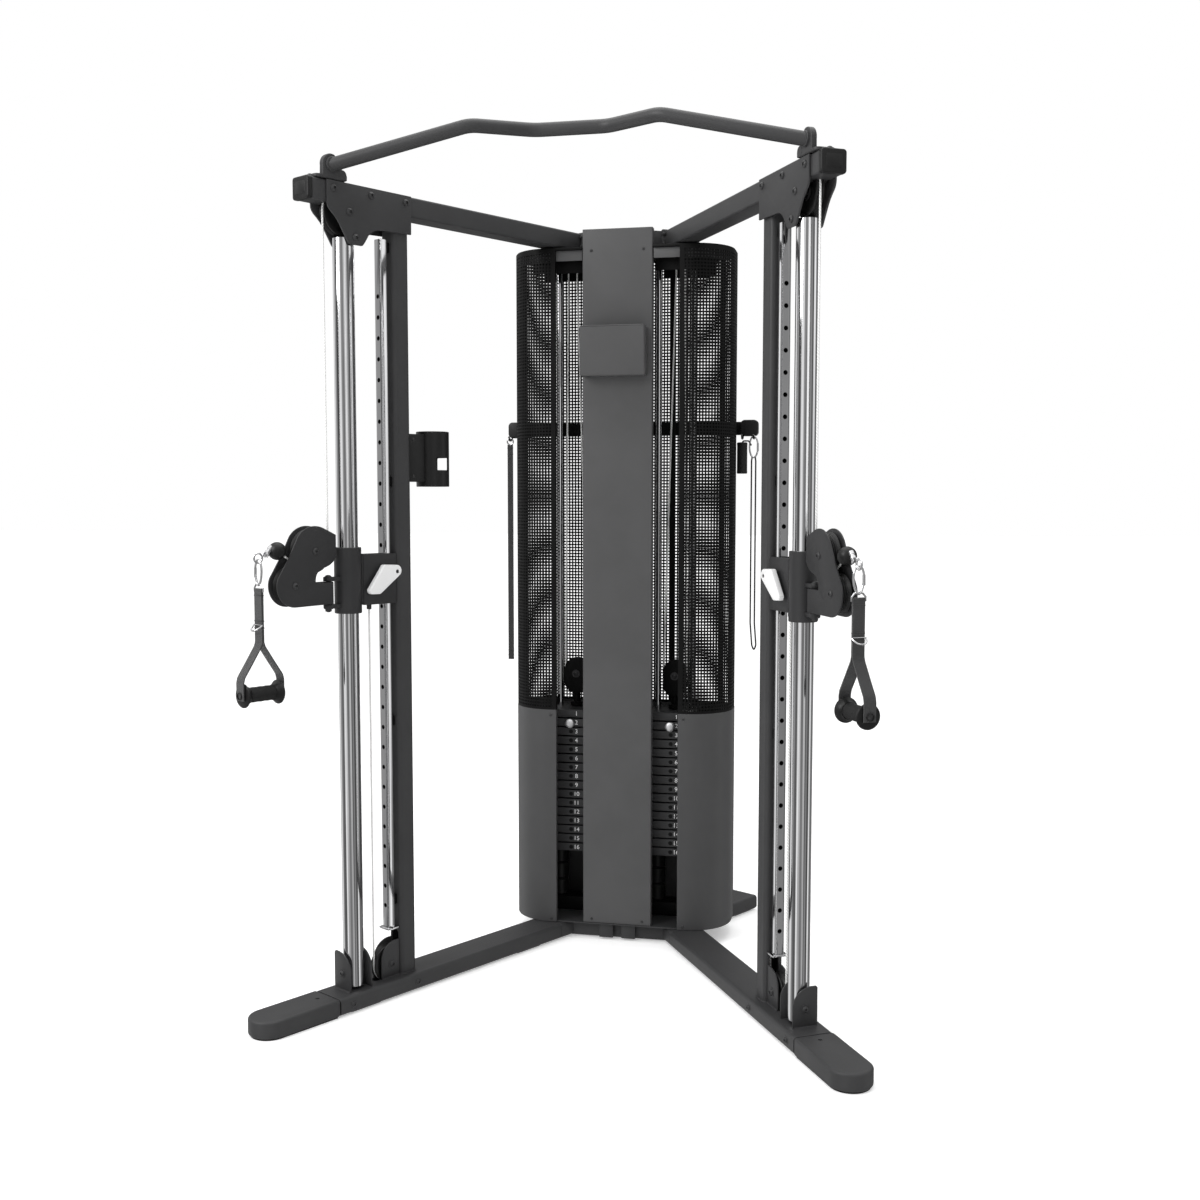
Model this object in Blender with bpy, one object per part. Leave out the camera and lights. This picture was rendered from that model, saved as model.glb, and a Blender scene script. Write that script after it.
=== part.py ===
"""Cable crossover machine: a weight tower with two arms, each arm with a height-adjustable
pulley carriage, and a pull-up bar across the arms. Metres, +Z up, +X to the user's right.

The arms meet at the apex, a point behind the tower, and spread ARM_ANGLE to each side of -Y.
Everything on an arm is drawn in that arm's own frame: t runs out along the arm from the
apex, v runs across it (negative towards the user), z is up.
"""

import math

import bmesh
import bpy
from mathutils import Matrix, Vector

# ---- driving dimensions ----
APEX_Y = 0.5766  # puts the origin under the centre of the bounding box
ARM_ANGLE = math.radians(60)
PITCH = 0.0508  # between the holes of an adjustment rail
HOLES = 31
HOLE_Z0 = 0.2280
CLEAR = 0.0004

LEG_HALF, LEG_TOP, LEG_PAD = 0.0505, 0.0450, 0.0060
LEG_T0, LEG_SEAM, LEG_TIP = 0.4000, 1.1750, 1.3950
REAR_N, REAR_Q0, REAR_Q1 = 0.2535, -0.1650, 0.2040

BEAM_HALF, BEAM_Z0, BEAM_Z1 = 0.0290, 1.9510, 2.0010
BEAM_T0, BEAM_T1 = 0.2860, 1.2195
UPRIGHT_T, UPRIGHT_HALF = 0.9400, 0.0250
WALL = 0.0030
RAIL_T0, RAIL_T1, RAIL_HALF = 0.9750, 0.9950, 0.0125
RAIL_Z0, RAIL_Z1 = 0.1690, 1.8900
POST_T, POST_R = 1.0980, 0.0254
POST_Z0, POST_Z1 = 0.0520, 1.8770

CABLE_R = 0.0025
PULLEY_GROOVE, PULLEY_RIM, PULLEY_HALF = 0.0410, 0.0475, 0.0095
PULLEY_PATH = 0.0445  # radius of the cable's centreline on a pulley
TOP_T, TOP_Z, TOP_GROOVE, TOP_RIM, TOP_PATH = 1.1040, 1.9340, 0.0496, 0.0550, 0.0530
HINGE_T = TOP_T + TOP_PATH
FOOT_PULLEY_T, FOOT_PULLEY_Z = 0.9900, 0.0790
AXLE_R = 0.0050

CARRIAGE_Z = 1.0600
SLEEVE_R, SLEEVE_HALF = 0.0330, 0.0800
LUG_Z = 0.0330  # lug centres above and below the swivel's barrel
SWIVEL_Z = CARRIAGE_Z - 0.0280
UPPER_GROOVE, UPPER_RIM, UPPER_PATH, UPPER_LOBE = 0.0460, 0.0525, 0.0495, 0.0600
LOWER_GROOVE, LOWER_RIM, LOWER_LOBE = 0.0380, 0.0440, 0.0510
UPPER_T, UPPER_Z = HINGE_T + UPPER_PATH, CARRIAGE_Z + 0.0740
LOWER_T, LOWER_Z = UPPER_T + 0.0575, CARRIAGE_Z - 0.0055
PULL_ANGLE = math.radians(33.7)  # the cable leaves the pulleys this far above level
BALL_R = 0.0210
EYE_T, EYE_Z = 1.3520, 1.1180
GRIP_Z, GRIP_HALF, GRIP_R, FLANGE_R = 0.8090, 0.0625, 0.0175, 0.0285
LEVER_T, LEVER_Z = 0.9800, CARRIAGE_Z + 0.0180

TOWER_HALF, TOWER_FRONT, TOWER_REAR, TOWER_MID = 0.3140, -0.3570, -0.1150, -0.1950
FRONT_R, REAR_R = 0.1200, 0.0780
GUARD_Z0, GUARD_Z1, SHEET = 0.0460, 1.9440, 0.0025
SLOT_INNER, SLOT_OUTER = 0.0980, 0.1740
PANEL_Y, PANEL_Z0, PANEL_Z1 = -0.3490, 0.0492, 1.9950

STACK_X, STACK_Y = 0.1450, -0.2150
PLATE_HALF_X, PLATE_HALF_Y, PLATE_PITCH, PLATE_THICK = 0.0665, 0.0800, 0.0260, 0.0252
PLATES, LIFTED = 16, 2
STACK_Z0 = 0.2380
ROD_DX, ROD_R = 0.0500, 0.0095
STEM_R = 0.0100
MOVING_R, MOVING_PATH, MOVING_Z = 0.0306, 0.0340, 0.7480
PORT_INNER, PORT_OUTER = 0.1450, 0.1680  # where the cable enters the tower head

BAR_R = 0.0160
HOOK_X, HOOK_Y, HOOK_Z = (0.3270, 0.3600), TOWER_REAR - 0.0440, 1.4280
ROUND = 20  # sides of a pulley or disc
SIDES = {"left": -1, "right": 1}

PAINT, DARK, CHROME, PLASTIC, RUBBER, WHITE, STEEL, WEB = (
    ("paint", (0.075, 0.075, 0.078), 0.45, 0.4),
    ("dark_paint", (0.030, 0.030, 0.032), 0.50, 0.3),
    ("chrome", (0.80, 0.80, 0.81), 0.08, 1.0),
    ("black_plastic", (0.022, 0.022, 0.023), 0.45, 0.0),
    ("rubber", (0.018, 0.018, 0.019), 0.70, 0.0),
    ("pale_plastic", (0.78, 0.78, 0.78), 0.40, 0.0),
    ("black_steel", (0.020, 0.020, 0.021), 0.55, 0.6),
    ("webbing", (0.050, 0.050, 0.052), 0.85, 0.0),
)


# ---- shapes: each returns a new mesh object in local coordinates ----
def solid(mesh_maker):
    """An object from a function that fills a bmesh."""
    bm = bmesh.new()
    mesh_maker(bm)
    bmesh.ops.recalc_face_normals(bm, faces=bm.faces)
    mesh = bpy.data.meshes.new("shape")
    bm.to_mesh(mesh)
    bm.free()
    piece = bpy.data.objects.new("shape", mesh)
    bpy.context.scene.collection.objects.link(piece)
    return piece


def skin(bm, rings, closed=False):
    """Joins rings of equal length into a tube, capped at both ends or closed on itself."""
    rows = [[bm.verts.new(point) for point in ring] for ring in rings]
    pairs = list(zip(rows, rows[1:])) + ([(rows[-1], rows[0])] if closed else [])
    for low, high in pairs:
        for i in range(len(low)):
            j = (i + 1) % len(low)
            bm.faces.new((low[i], low[j], high[j], high[i]))
    if not closed:
        bm.faces.new(rows[0][::-1])
        bm.faces.new(rows[-1])


def box(t, v, z, bevel=0.0, along=None, segments=2):
    """A box between three (low, high) pairs; edges along the axis `along` are rounded."""

    def fill(bm):
        low = [(t[0], v[0], z[0]), (t[1], v[0], z[0]), (t[1], v[1], z[0]), (t[0], v[1], z[0])]
        skin(bm, [low, [(a, b, z[1]) for a, b, _ in low]])
        if bevel:
            edges = [
                edge
                for edge in bm.edges
                if abs((edge.verts[1].co - edge.verts[0].co).normalized()["xyz".index(along)]) > 0.9
            ]
            bmesh.ops.bevel(bm, geom=edges, offset=bevel, segments=segments, affect="EDGES", profile=0.5)

    return solid(fill)


def prism(outline, axis, low, high):
    """A 2-D outline extruded along an axis: "y" takes (t, z) points, "z" takes (t, v), "x" (v, z)."""

    def point(a, b, c):
        return {"x": (c, a, b), "y": (a, c, b), "z": (a, b, c)}[axis]

    def fill(bm):
        skin(bm, [[point(a, b, low) for a, b in outline], [point(a, b, high) for a, b in outline]])

    return solid(fill)


def arc(centre, radius, start, end, steps):
    """Points of an arc, angles in degrees."""
    turns = [math.radians(start + (end - start) * i / steps) for i in range(steps + 1)]
    return [(centre[0] + radius * math.cos(a), centre[1] + radius * math.sin(a)) for a in turns]


def turned(profile, centre, axis, steps=ROUND):
    """A closed (radius, height) profile turned round an axis: an annulus if it stays off it."""
    turn = Vector((0, 0, 1)).rotation_difference(Vector(axis)).to_matrix()

    def fill(bm):
        rings = []
        for i in range(steps):
            a = math.tau * i / steps
            ring = [Vector((r * math.cos(a), r * math.sin(a), h)) for r, h in profile]
            rings.append([Vector(centre) + turn @ point for point in ring])
        skin(bm, rings, closed=True)

    return solid(fill)


def rod(start, end, radius, steps=12):
    return tube([start, end], radius, steps)


def tube(points, radius, steps=8, loop_normal=None):
    """A round tube along points; with a normal it closes on itself in the plane of that normal."""
    points = [Vector(p) for p in points]
    closed = loop_normal is not None
    heads = [(b - a).normalized() for a, b in zip(points, points[1:] + points[:1])]
    if not closed:
        heads[-1] = heads[-2]
    start = Vector(loop_normal) if closed else heads[0].orthogonal().normalized()

    def fill(bm):
        rings = []
        across = start
        for i, point in enumerate(points):
            head = (heads[i - 1 if closed or i else 0] + heads[i]).normalized()
            across = (across - head * across.dot(head)).normalized()
            side = head.cross(across)
            rings.append(
                [
                    point + radius * (math.cos(a) * across + math.sin(a) * side)
                    for a in (math.tau * k / steps for k in range(steps))
                ]
            )
        skin(bm, rings, closed)

    return solid(fill)


def oval(centre, half_a, half_b, axes, steps=12):
    """Points of an ellipse in the plane of two axes."""
    a_axis, b_axis = Vector(axes[0]), Vector(axes[1])
    turns = [math.tau * i / steps for i in range(steps)]
    return [Vector(centre) + half_a * math.cos(t) * a_axis + half_b * math.sin(t) * b_axis for t in turns]


def combine(first, operation, others):
    """Applies one Boolean per other shape and removes the others."""
    for other in others:
        step = first.modifiers.new("step", "BOOLEAN")
        step.operation, step.object, step.solver = operation, other, "EXACT"
        bpy.context.view_layer.update()
        result = bpy.data.meshes.new_from_object(
            first.evaluated_get(bpy.context.evaluated_depsgraph_get())
        )
        first.modifiers.clear()
        first.data = result
        bpy.data.objects.remove(other)
    return first


def join(first, *others):
    return combine(first, "UNION", others)


def cut(first, *others):
    return combine(first, "DIFFERENCE", others)


# ---- placing ----
def tower_frame(side=1):
    return Matrix.Diagonal((side, 1, 1, 1)) @ Matrix.Translation((0, APEX_Y, 0))


def arm_frame(side):
    turn = Matrix.Rotation(-ARM_ANGLE, 4, "Z")
    return tower_frame(side) @ turn


def material_of(kind):
    name, colour, roughness, metallic = kind
    material = bpy.data.materials.get(name) or bpy.data.materials.new(name)
    material.use_nodes = True
    shader = material.node_tree.nodes["Principled BSDF"]
    shader.inputs["Base Color"].default_value = (*colour, 1)
    shader.inputs["Roughness"].default_value = roughness
    shader.inputs["Metallic"].default_value = metallic
    return material


def emit(name, piece, frame, kind, origin=(0, 0, 0)):
    """Names a finished shape and places it, with its own origin at `origin` in the frame."""
    mesh = piece.data
    mesh.transform(frame)
    if frame.determinant() < 0:
        mesh.flip_normals()
    place = frame @ Vector(origin)
    mesh.transform(Matrix.Translation(-place))
    piece.location = place
    piece.name = mesh.name = name
    mesh.materials.clear()
    mesh.materials.append(material_of(kind))
    mesh.shade_smooth()
    mesh.set_sharp_from_angle(angle=math.radians(35))
    return piece


# ---- base ----
def leg_solid(start, end):
    body = box((start, end), (-LEG_HALF, LEG_HALF), (LEG_PAD, LEG_TOP), 0.009, "x")
    pad = box((start + 0.01, end - 0.01), (-LEG_HALF + 0.006, LEG_HALF - 0.006), (0, LEG_PAD + 0.004))
    wall = LEG_HALF - WALL
    bore = box((start - 0.01, end + 0.01), (-wall, wall), (LEG_PAD + WALL + 0.002, LEG_TOP - WALL), 0.006, "x")
    return cut(join(body, pad), bore)


def make_base_frame():
    """Rear legs, stubs for the front legs, a cross tube and the tower's floor plate, welded."""
    shapes = []
    for side in SIDES.values():
        outline = [(REAR_Q0, -LEG_HALF), (REAR_Q1, -LEG_HALF), (REAR_Q1, LEG_HALF), (REAR_Q0, LEG_HALF)]
        rear = prism(outline, "z", 0, LEG_TOP)
        rear.data.transform(
            tower_frame(side)
            @ Matrix.Rotation(ARM_ANGLE, 4, "Z")
            @ Matrix.Translation((0, -REAR_N, 0))
        )
        stub = box((0.2300, LEG_T0 - CLEAR), (-LEG_HALF, LEG_HALF), (0, LEG_TOP - 0.0005))
        stub.data.transform(arm_frame(side))
        bore = box((0.0, REAR_Q1 + 0.01), (-LEG_HALF + WALL, LEG_HALF - WALL), (WALL, LEG_TOP - WALL))
        bore.data.transform(
            tower_frame(side)
            @ Matrix.Rotation(ARM_ANGLE, 4, "Z")
            @ Matrix.Translation((0, -REAR_N, 0))
        )
        if side < 0:
            for shape in (rear, stub, bore):
                shape.data.flip_normals()
        shapes += [cut(rear, bore), stub]
    cross = box((-0.150, 0.150), (APEX_Y - 0.3300, APEX_Y - 0.2050), (0.0030, 0.0470))
    floor = prism(tower_outline(0.004), "z", 0.0458, 0.0488)
    floor.data.transform(tower_frame())
    frame = join(cross, *shapes)
    emit("base_frame", join(frame, floor), Matrix(), PAINT)


def make_front_leg(name, side):
    """Leg tube with the post's socket and the bottom pulley's cheeks welded on."""
    leg = leg_solid(LEG_T0, LEG_SEAM)
    z0 = LEG_TOP - 0.004
    parts = []
    for t in (POST_T - 0.0340, POST_T + 0.0300):
        cheek = [(-0.031, z0), (0.032, z0), (0.032, 0.140), (0.016, 0.140)]
        cheek += arc((0.016, 0.092), 0.047, 100, 180, 5)
        parts.append(prism(cheek, "x", t, t + 0.004))
    parts.append(box((POST_T - 0.0340, POST_T + 0.0340), (0.0280, 0.0320), (z0, 0.120)))
    parts.append(rod((POST_T + 0.0290, 0, 0.088), (POST_T + 0.0400, 0, 0.088), 0.0080, 10))
    for v in (-0.0170, 0.0130):
        cheek = [(UPRIGHT_T + UPRIGHT_HALF + 0.0006, z0), (1.0230, z0)]
        cheek += arc((0.9750, 0.0900), 0.0480, 0, 90, 6)
        cheek += [(UPRIGHT_T + UPRIGHT_HALF + 0.0006, 0.1380)]
        parts.append(prism(cheek, "y", v, v + 0.004))
    axle = rod((FOOT_PULLEY_T, -0.0200, FOOT_PULLEY_Z), (FOOT_PULLEY_T, 0.0200, FOOT_PULLEY_Z), AXLE_R, 10)
    parts.append(axle)
    pocket = box((FOOT_PULLEY_T - 0.050, FOOT_PULLEY_T + 0.050), (-0.0118, 0.0118), (0.0290, 0.060))
    leg = cut(join(leg, *parts), pocket)
    emit(f"front_leg_{name}", leg, arm_frame(side), PAINT)


def make_foot_cap(name, side):
    centre = LEG_TIP - LEG_HALF
    outline = [(LEG_SEAM + CLEAR, -LEG_HALF - 0.001), (centre, -LEG_HALF - 0.001)]
    outline += arc((centre, 0), LEG_HALF + 0.001, -75, 75, 10)
    outline += [(centre, LEG_HALF + 0.001), (LEG_SEAM + CLEAR, LEG_HALF + 0.001)]
    cap = prism(outline, "z", 0, LEG_TOP + 0.001)
    emit(f"foot_cap_{name}", cap, arm_frame(side), PLASTIC)


# ---- arm structure ----
def make_upright(name, side):
    """Square tube, slotted at the foot for the bottom pulley."""
    low, high = UPRIGHT_T - UPRIGHT_HALF, UPRIGHT_T + UPRIGHT_HALF
    z0 = LEG_TOP + CLEAR
    tube_solid = box((low, high), (-UPRIGHT_HALF, UPRIGHT_HALF), (z0, BEAM_Z0 - CLEAR), 0.011, "z")
    inner = UPRIGHT_HALF - WALL
    bore = box((UPRIGHT_T - inner, UPRIGHT_T + inner), (-inner, inner), (0, 2.1), 0.008, "z")
    slot = box((high - 0.010, high + 0.010), (-0.0125, 0.0125), (0.030, 0.1620))
    emit(f"upright_{name}", cut(tube_solid, bore, slot), arm_frame(side), PAINT)


def make_rail(name, side):
    """Chrome adjustment bar with its row of pin holes and a small flange at the foot."""
    rail = box((RAIL_T0, RAIL_T1), (-RAIL_HALF, RAIL_HALF), (RAIL_Z0 + 0.001, RAIL_Z1))
    depth = 0.0120
    holes = [
        rod((RAIL_T1 - depth, 0, z), (RAIL_T1 + depth, 0, z), 0.0058, 8)
        for z in (HOLE_Z0 + PITCH * i for i in range(HOLES))
    ]
    flange = box((UPRIGHT_T + UPRIGHT_HALF + 0.0006, RAIL_T1 + 0.007), (-0.020, 0.020), (RAIL_Z0 - 0.002, RAIL_Z0 + 0.002))
    tab = box((UPRIGHT_T + UPRIGHT_HALF + 0.0006, RAIL_T1 - 0.002), (-0.010, 0.010), (RAIL_Z1 - 0.030, RAIL_Z1 - 0.002))
    emit(f"adjust_rail_{name}", join(cut(rail, *holes), flange, tab), arm_frame(side), CHROME)


def make_post(name, side):
    wall = POST_R - WALL
    post = turned([(wall, POST_Z0), (POST_R, POST_Z0), (POST_R, POST_Z1), (wall, POST_Z1)], (POST_T, 0, 0), (0, 0, 1), 24)
    emit(f"guide_post_{name}", post, arm_frame(side), CHROME)


def make_beam(name, side):
    """Top beam with a plastic end plug and the flange that bolts it to the tower's head."""
    beam = box((BEAM_T0 + 0.002, BEAM_T1 - 0.002), (-BEAM_HALF, BEAM_HALF), (BEAM_Z0, BEAM_Z1), 0.006, "x")
    plug = box((BEAM_T1 - 0.0150, BEAM_T1), (-BEAM_HALF - 0.0015, BEAM_HALF + 0.0015), (BEAM_Z0 - 0.0010, BEAM_Z1 + 0.0015), 0.007, "x")
    flange = box((BEAM_T0, BEAM_T0 + 0.006), (-0.0400, 0.0400), (BEAM_Z0 - 0.0005, BEAM_Z1 + 0.0020))
    inner = BEAM_HALF - WALL
    bore = box((BEAM_T0 - 0.010, BEAM_T1 - 0.010), (-inner, inner), (BEAM_Z0 + WALL, BEAM_Z1 - WALL))
    slot = box((TOP_T - 0.060, TOP_T + 0.062), (-0.0120, 0.0120), (BEAM_Z0 - 0.010, BEAM_Z0 + 0.010))
    drop = box((UPRIGHT_T - 0.030, UPRIGHT_T + 0.015), (-0.010, 0.010), (BEAM_Z0 - 0.010, BEAM_Z0 + 0.010))
    beam = cut(join(beam, plug, flange), bore, slot, drop)
    emit(f"top_beam_{name}", beam, arm_frame(side), PAINT)


GUSSET_BOLTS = ((0.9320, 1.9825), (1.0390, 1.9825), (1.1495, 1.9825), (1.0870, 1.8710))


def make_gusset(name, side):
    """Two plates on the sides of the beam, held by through bolts; they carry the top pulley."""
    outline = [(0.9140, 2.0000), (0.9150, 1.9070), (1.0200, 1.9040), (1.0330, 1.8990), (1.0470, 1.8870)]
    outline += [(1.0590, 1.8690), (1.0680, 1.8600), (1.0990, 1.8590), (1.1110, 1.8660), (1.1350, 1.9080)]
    outline += [(1.1630, 1.9340), (1.1680, 1.9500), (1.1680, 2.0000)]
    gap = BEAM_HALF + CLEAR
    plates = [prism(outline, "y", low, low + 0.005) for low in (gap, -gap - 0.005)]
    bolts = [rod((t, -gap - 0.010, z), (t, gap + 0.010, z), 0.0075, 8) for t, z in GUSSET_BOLTS[3:]]
    heads = [
        rod((t, v, z), (t, v + 0.009, z), 0.0085, 8)
        for t, z in GUSSET_BOLTS[:3]
        for v in (gap + 0.001, -gap - 0.010)
    ]
    axle = rod((TOP_T, -gap - 0.010, TOP_Z), (TOP_T, gap + 0.010, TOP_Z), 0.0075, 10)
    plates[0] = join(plates[0], axle, *bolts)
    whole = join(plates[0], plates[1], *heads)
    post_room = rod((POST_T, 0, 1.80), (POST_T, 0, POST_Z1 + 0.001), POST_R + 0.0006, 24)
    emit(f"gusset_{name}", cut(whole, post_room), arm_frame(side), PAINT)


def bar_route():
    """Centreline of the pull-up bar: it rises from each end, then sweeps back in the middle."""
    right = [
        (0.0, -0.9062, 2.1160),
        (0.0600, -0.9062, 2.1160),
        (0.0800, -0.9100, 2.1160),
        (0.0960, -0.9170, 2.1160),
        (0.1950, -0.9720, 2.1150),
        (0.2120, -0.9810, 2.1140),
        (0.2300, -0.9870, 2.1120),
        (0.2480, -0.9895, 2.1085),
        (0.5502, -1.0131, 2.0341),
    ]
    return [(-x, y, z) for x, y, z in right[:0:-1]] + right


def make_pull_up_bar():
    """Bent bar with an ear and a foot plate at each end, welded."""
    bar = tube(bar_route(), BAR_R, 12)
    bar.data.transform(tower_frame())
    shapes = []
    for side in SIDES.values():
        outline = [(1.1080, 2.0080), (1.1980, 2.0080)]
        outline += arc((1.1600, 2.0345), 0.0230, -15, 120, 6)
        outline += [(1.1180, 2.0360)]
        ear = prism(outline, "y", -0.0330, -0.0240)
        foot = box((1.1050, 1.2000), (-0.0330, 0.0200), (BEAM_Z1 + 0.0022, BEAM_Z1 + 0.0100))
        for shape in (ear, foot):
            shape.data.transform(arm_frame(side))
            if side < 0:
                shape.data.flip_normals()
        shapes += [ear, foot]
    emit("pull_up_bar", join(bar, *shapes), Matrix(), PAINT)


# ---- tower ----
def tower_outline(inset):
    """Plan of the tower, `inset` inside the guards' outer faces."""
    half, front, rear = TOWER_HALF - inset, TOWER_FRONT + inset, TOWER_REAR - inset
    front_r, rear_r = FRONT_R - inset, REAR_R - inset
    right = arc((half - front_r, front + front_r), front_r, -90, 0, 8)
    right += arc((half - rear_r, rear - rear_r), rear_r, 0, 90, 6)
    return right + [(-x, y) for x, y in right[::-1]]


def strip(outer, inner):
    """Closed outline of a bent sheet from its outer and inner runs."""
    return outer + inner[::-1]


def guard_run(inset):
    half, front = TOWER_HALF - inset, TOWER_FRONT + inset
    radius = FRONT_R - inset
    return [(SLOT_OUTER, front)] + arc((half - radius, front + radius), radius, -90, 0, 10) + [(half, TOWER_MID - 0.002)]


def make_side_guard(name, side):
    guard = prism(strip(guard_run(0), guard_run(SHEET)), "z", GUARD_Z0, GUARD_Z1)
    emit(f"side_guard_{name}", guard, tower_frame(side), DARK)


def rear_run(inset):
    half, rear, radius = TOWER_HALF - inset, TOWER_REAR - inset, REAR_R - inset
    right = [(half, TOWER_MID + 0.0006)] + arc((half - radius, rear - radius), radius, 0, 90, 8)
    return right + [(-x, y) for x, y in right[::-1]]


def make_rear_guard():
    guard = prism(strip(rear_run(0), rear_run(SHEET)), "z", GUARD_Z0, GUARD_Z1)
    emit("rear_guard", guard, tower_frame(), DARK)


def make_center_panel():
    back = PANEL_Y + 0.0240
    outer = [(-SLOT_INNER, back), (-SLOT_INNER, PANEL_Y), (SLOT_INNER, PANEL_Y), (SLOT_INNER, back)]
    side, face = SLOT_INNER - SHEET, PANEL_Y + SHEET
    inner = [(-side, back), (-side, face), (side, face), (side, back)]
    emit("center_panel", prism(strip(outer, inner), "z", PANEL_Z0, PANEL_Z1), tower_frame(), PAINT)


def head_outline(t, half, rear):
    """Plan of the box between the beams: its front faces lie square across both arms."""
    c, s = math.cos(ARM_ANGLE), math.sin(ARM_ANGLE)
    side = (half, (half * c - t) / s)
    return [(0.0, -t / s), side, (half, rear), (-half, rear), (-side[0], side[1])]


def make_tower_head():
    """Top plate, header band behind the guards, and the box that both beams bolt to."""
    top = prism(tower_outline(SHEET + CLEAR), "z", 1.9400, 1.9475)
    head_box = prism(head_outline(BEAM_T0 - CLEAR, 0.2000, -0.1500), "z", 1.9420, 1.9990)
    hollow = prism(head_outline(BEAM_T0 - 0.0044, 0.1960, -0.1540), "z", 1.9460, 1.9950)
    radius = FRONT_R - 0.012
    outer = [(0.0, TOWER_FRONT + 0.012)] + arc((TOWER_HALF - FRONT_R, TOWER_FRONT + FRONT_R), radius, -90, -10, 6)
    inner = [(0.0, TOWER_FRONT + 0.015)] + arc((TOWER_HALF - FRONT_R, TOWER_FRONT + FRONT_R), radius - 0.003, -90, -10, 6)
    mirrored = [[(-x, y) for x, y in run[:0:-1]] for run in (outer, inner)]
    band = prism(strip(mirrored[0] + outer, mirrored[1] + inner), "z", 1.9120, 1.9420)
    ports = [box((-0.0986, 0.0986), (-0.3600, PANEL_Y + 0.0246), (1.9000, 1.9560))]
    for side in SIDES.values():
        port = box((0.2700, 0.3000), (-0.0240, 0.0260), (1.9550, 1.9900))
        port.data.transform(tower_frame().inverted() @ arm_frame(side))
        if side < 0:
            port.data.flip_normals()
        ports.append(port)
        for x in (PORT_INNER, PORT_OUTER):
            ports.append(rod((side * x, STACK_Y, 1.9300), (side * x, STACK_Y, 1.9520), 0.0090, 10))
    head = cut(join(top, head_box, band), hollow, *ports)
    emit("tower_head", head, tower_frame(), DARK)


def make_media_holder():
    """Open-topped pocket for a tablet on the front of the panel."""
    low, high, depth = -0.0960, 0.0850, 0.0560
    back, z0, z1 = PANEL_Y - CLEAR, 1.5920, 1.7260
    profile = [(back, z0), (back - depth + 0.008, z0), (back - depth, z1), (back, z1)]
    pocket = prism(profile, "x", low, high)
    wall = 0.0035
    hollow = [(back - wall, z0 + wall), (back - depth + 0.012, z0 + wall), (back - depth + wall, z1 + 0.02), (back - wall, z1 + 0.02)]
    emit("media_holder", cut(pocket, prism(hollow, "x", low + wall, high - wall)), tower_frame(), PAINT)


def make_guide_rods(name, side):
    """Two rods on a foot bar, with rubber rings that the stack rests on."""
    z0 = 0.0492
    rods = [rod((STACK_X + dx, STACK_Y, z0 + 0.004), (STACK_X + dx, STACK_Y, 1.9380), ROD_R, 12) for dx in (-ROD_DX, ROD_DX)]
    rings = [
        rod((STACK_X + dx, STACK_Y, z0 + 0.010), (STACK_X + dx, STACK_Y, STACK_Z0 - CLEAR), 0.0240, 14)
        for dx in (-ROD_DX, ROD_DX)
    ]
    foot = box((STACK_X - 0.0700, STACK_X + 0.0700), (STACK_Y - 0.0300, STACK_Y + 0.0300), (z0, z0 + 0.0400))
    emit(f"guide_rods_{name}", join(foot, *rings, *rods), tower_frame(side), CHROME)


def plate_ring(half_x, half_y, z):
    return [
        (STACK_X - half_x, STACK_Y - half_y, z),
        (STACK_X + half_x, STACK_Y - half_y, z),
        (STACK_X + half_x, STACK_Y + half_y, z),
        (STACK_X - half_x, STACK_Y + half_y, z),
    ]


def plate_stack(z0, count):
    """Plates drawn as one solid with a shallow groove between neighbours."""

    def fill(bm):
        rings = []
        for i in range(count):
            z = z0 + i * PLATE_PITCH
            rings.append(plate_ring(PLATE_HALF_X, PLATE_HALF_Y, z))
            rings.append(plate_ring(PLATE_HALF_X, PLATE_HALF_Y, z + PLATE_THICK))
            if i < count - 1:
                rings.append(plate_ring(PLATE_HALF_X - 0.003, PLATE_HALF_Y - 0.003, z + PLATE_THICK))
                rings.append(plate_ring(PLATE_HALF_X - 0.003, PLATE_HALF_Y - 0.003, z + PLATE_PITCH))
        skin(bm, rings)

    return solid(fill)


def rod_bores(z0, z1):
    return [rod((STACK_X + dx, STACK_Y, z0), (STACK_X + dx, STACK_Y, z1), ROD_R + 0.0015, 12) for dx in (-ROD_DX, ROD_DX)]


LIFTED_Z0 = STACK_Z0 + (PLATES - LIFTED) * PLATE_PITCH
LIFTED_Z1 = STACK_Z0 + (PLATES - 1) * PLATE_PITCH + PLATE_THICK
PIN_Z = LIFTED_Z0 + PLATE_THICK / 2


def make_resting_weights(name, side):
    stack = plate_stack(STACK_Z0, PLATES - LIFTED)
    top = LIFTED_Z0 + 0.01
    stem_bore = rod((STACK_X, STACK_Y, 0.10), (STACK_X, STACK_Y, top), STEM_R + 0.0020, 12)
    emit(f"resting_weights_{name}", cut(stack, *rod_bores(0.10, top), stem_bore), tower_frame(side), DARK)


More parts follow.
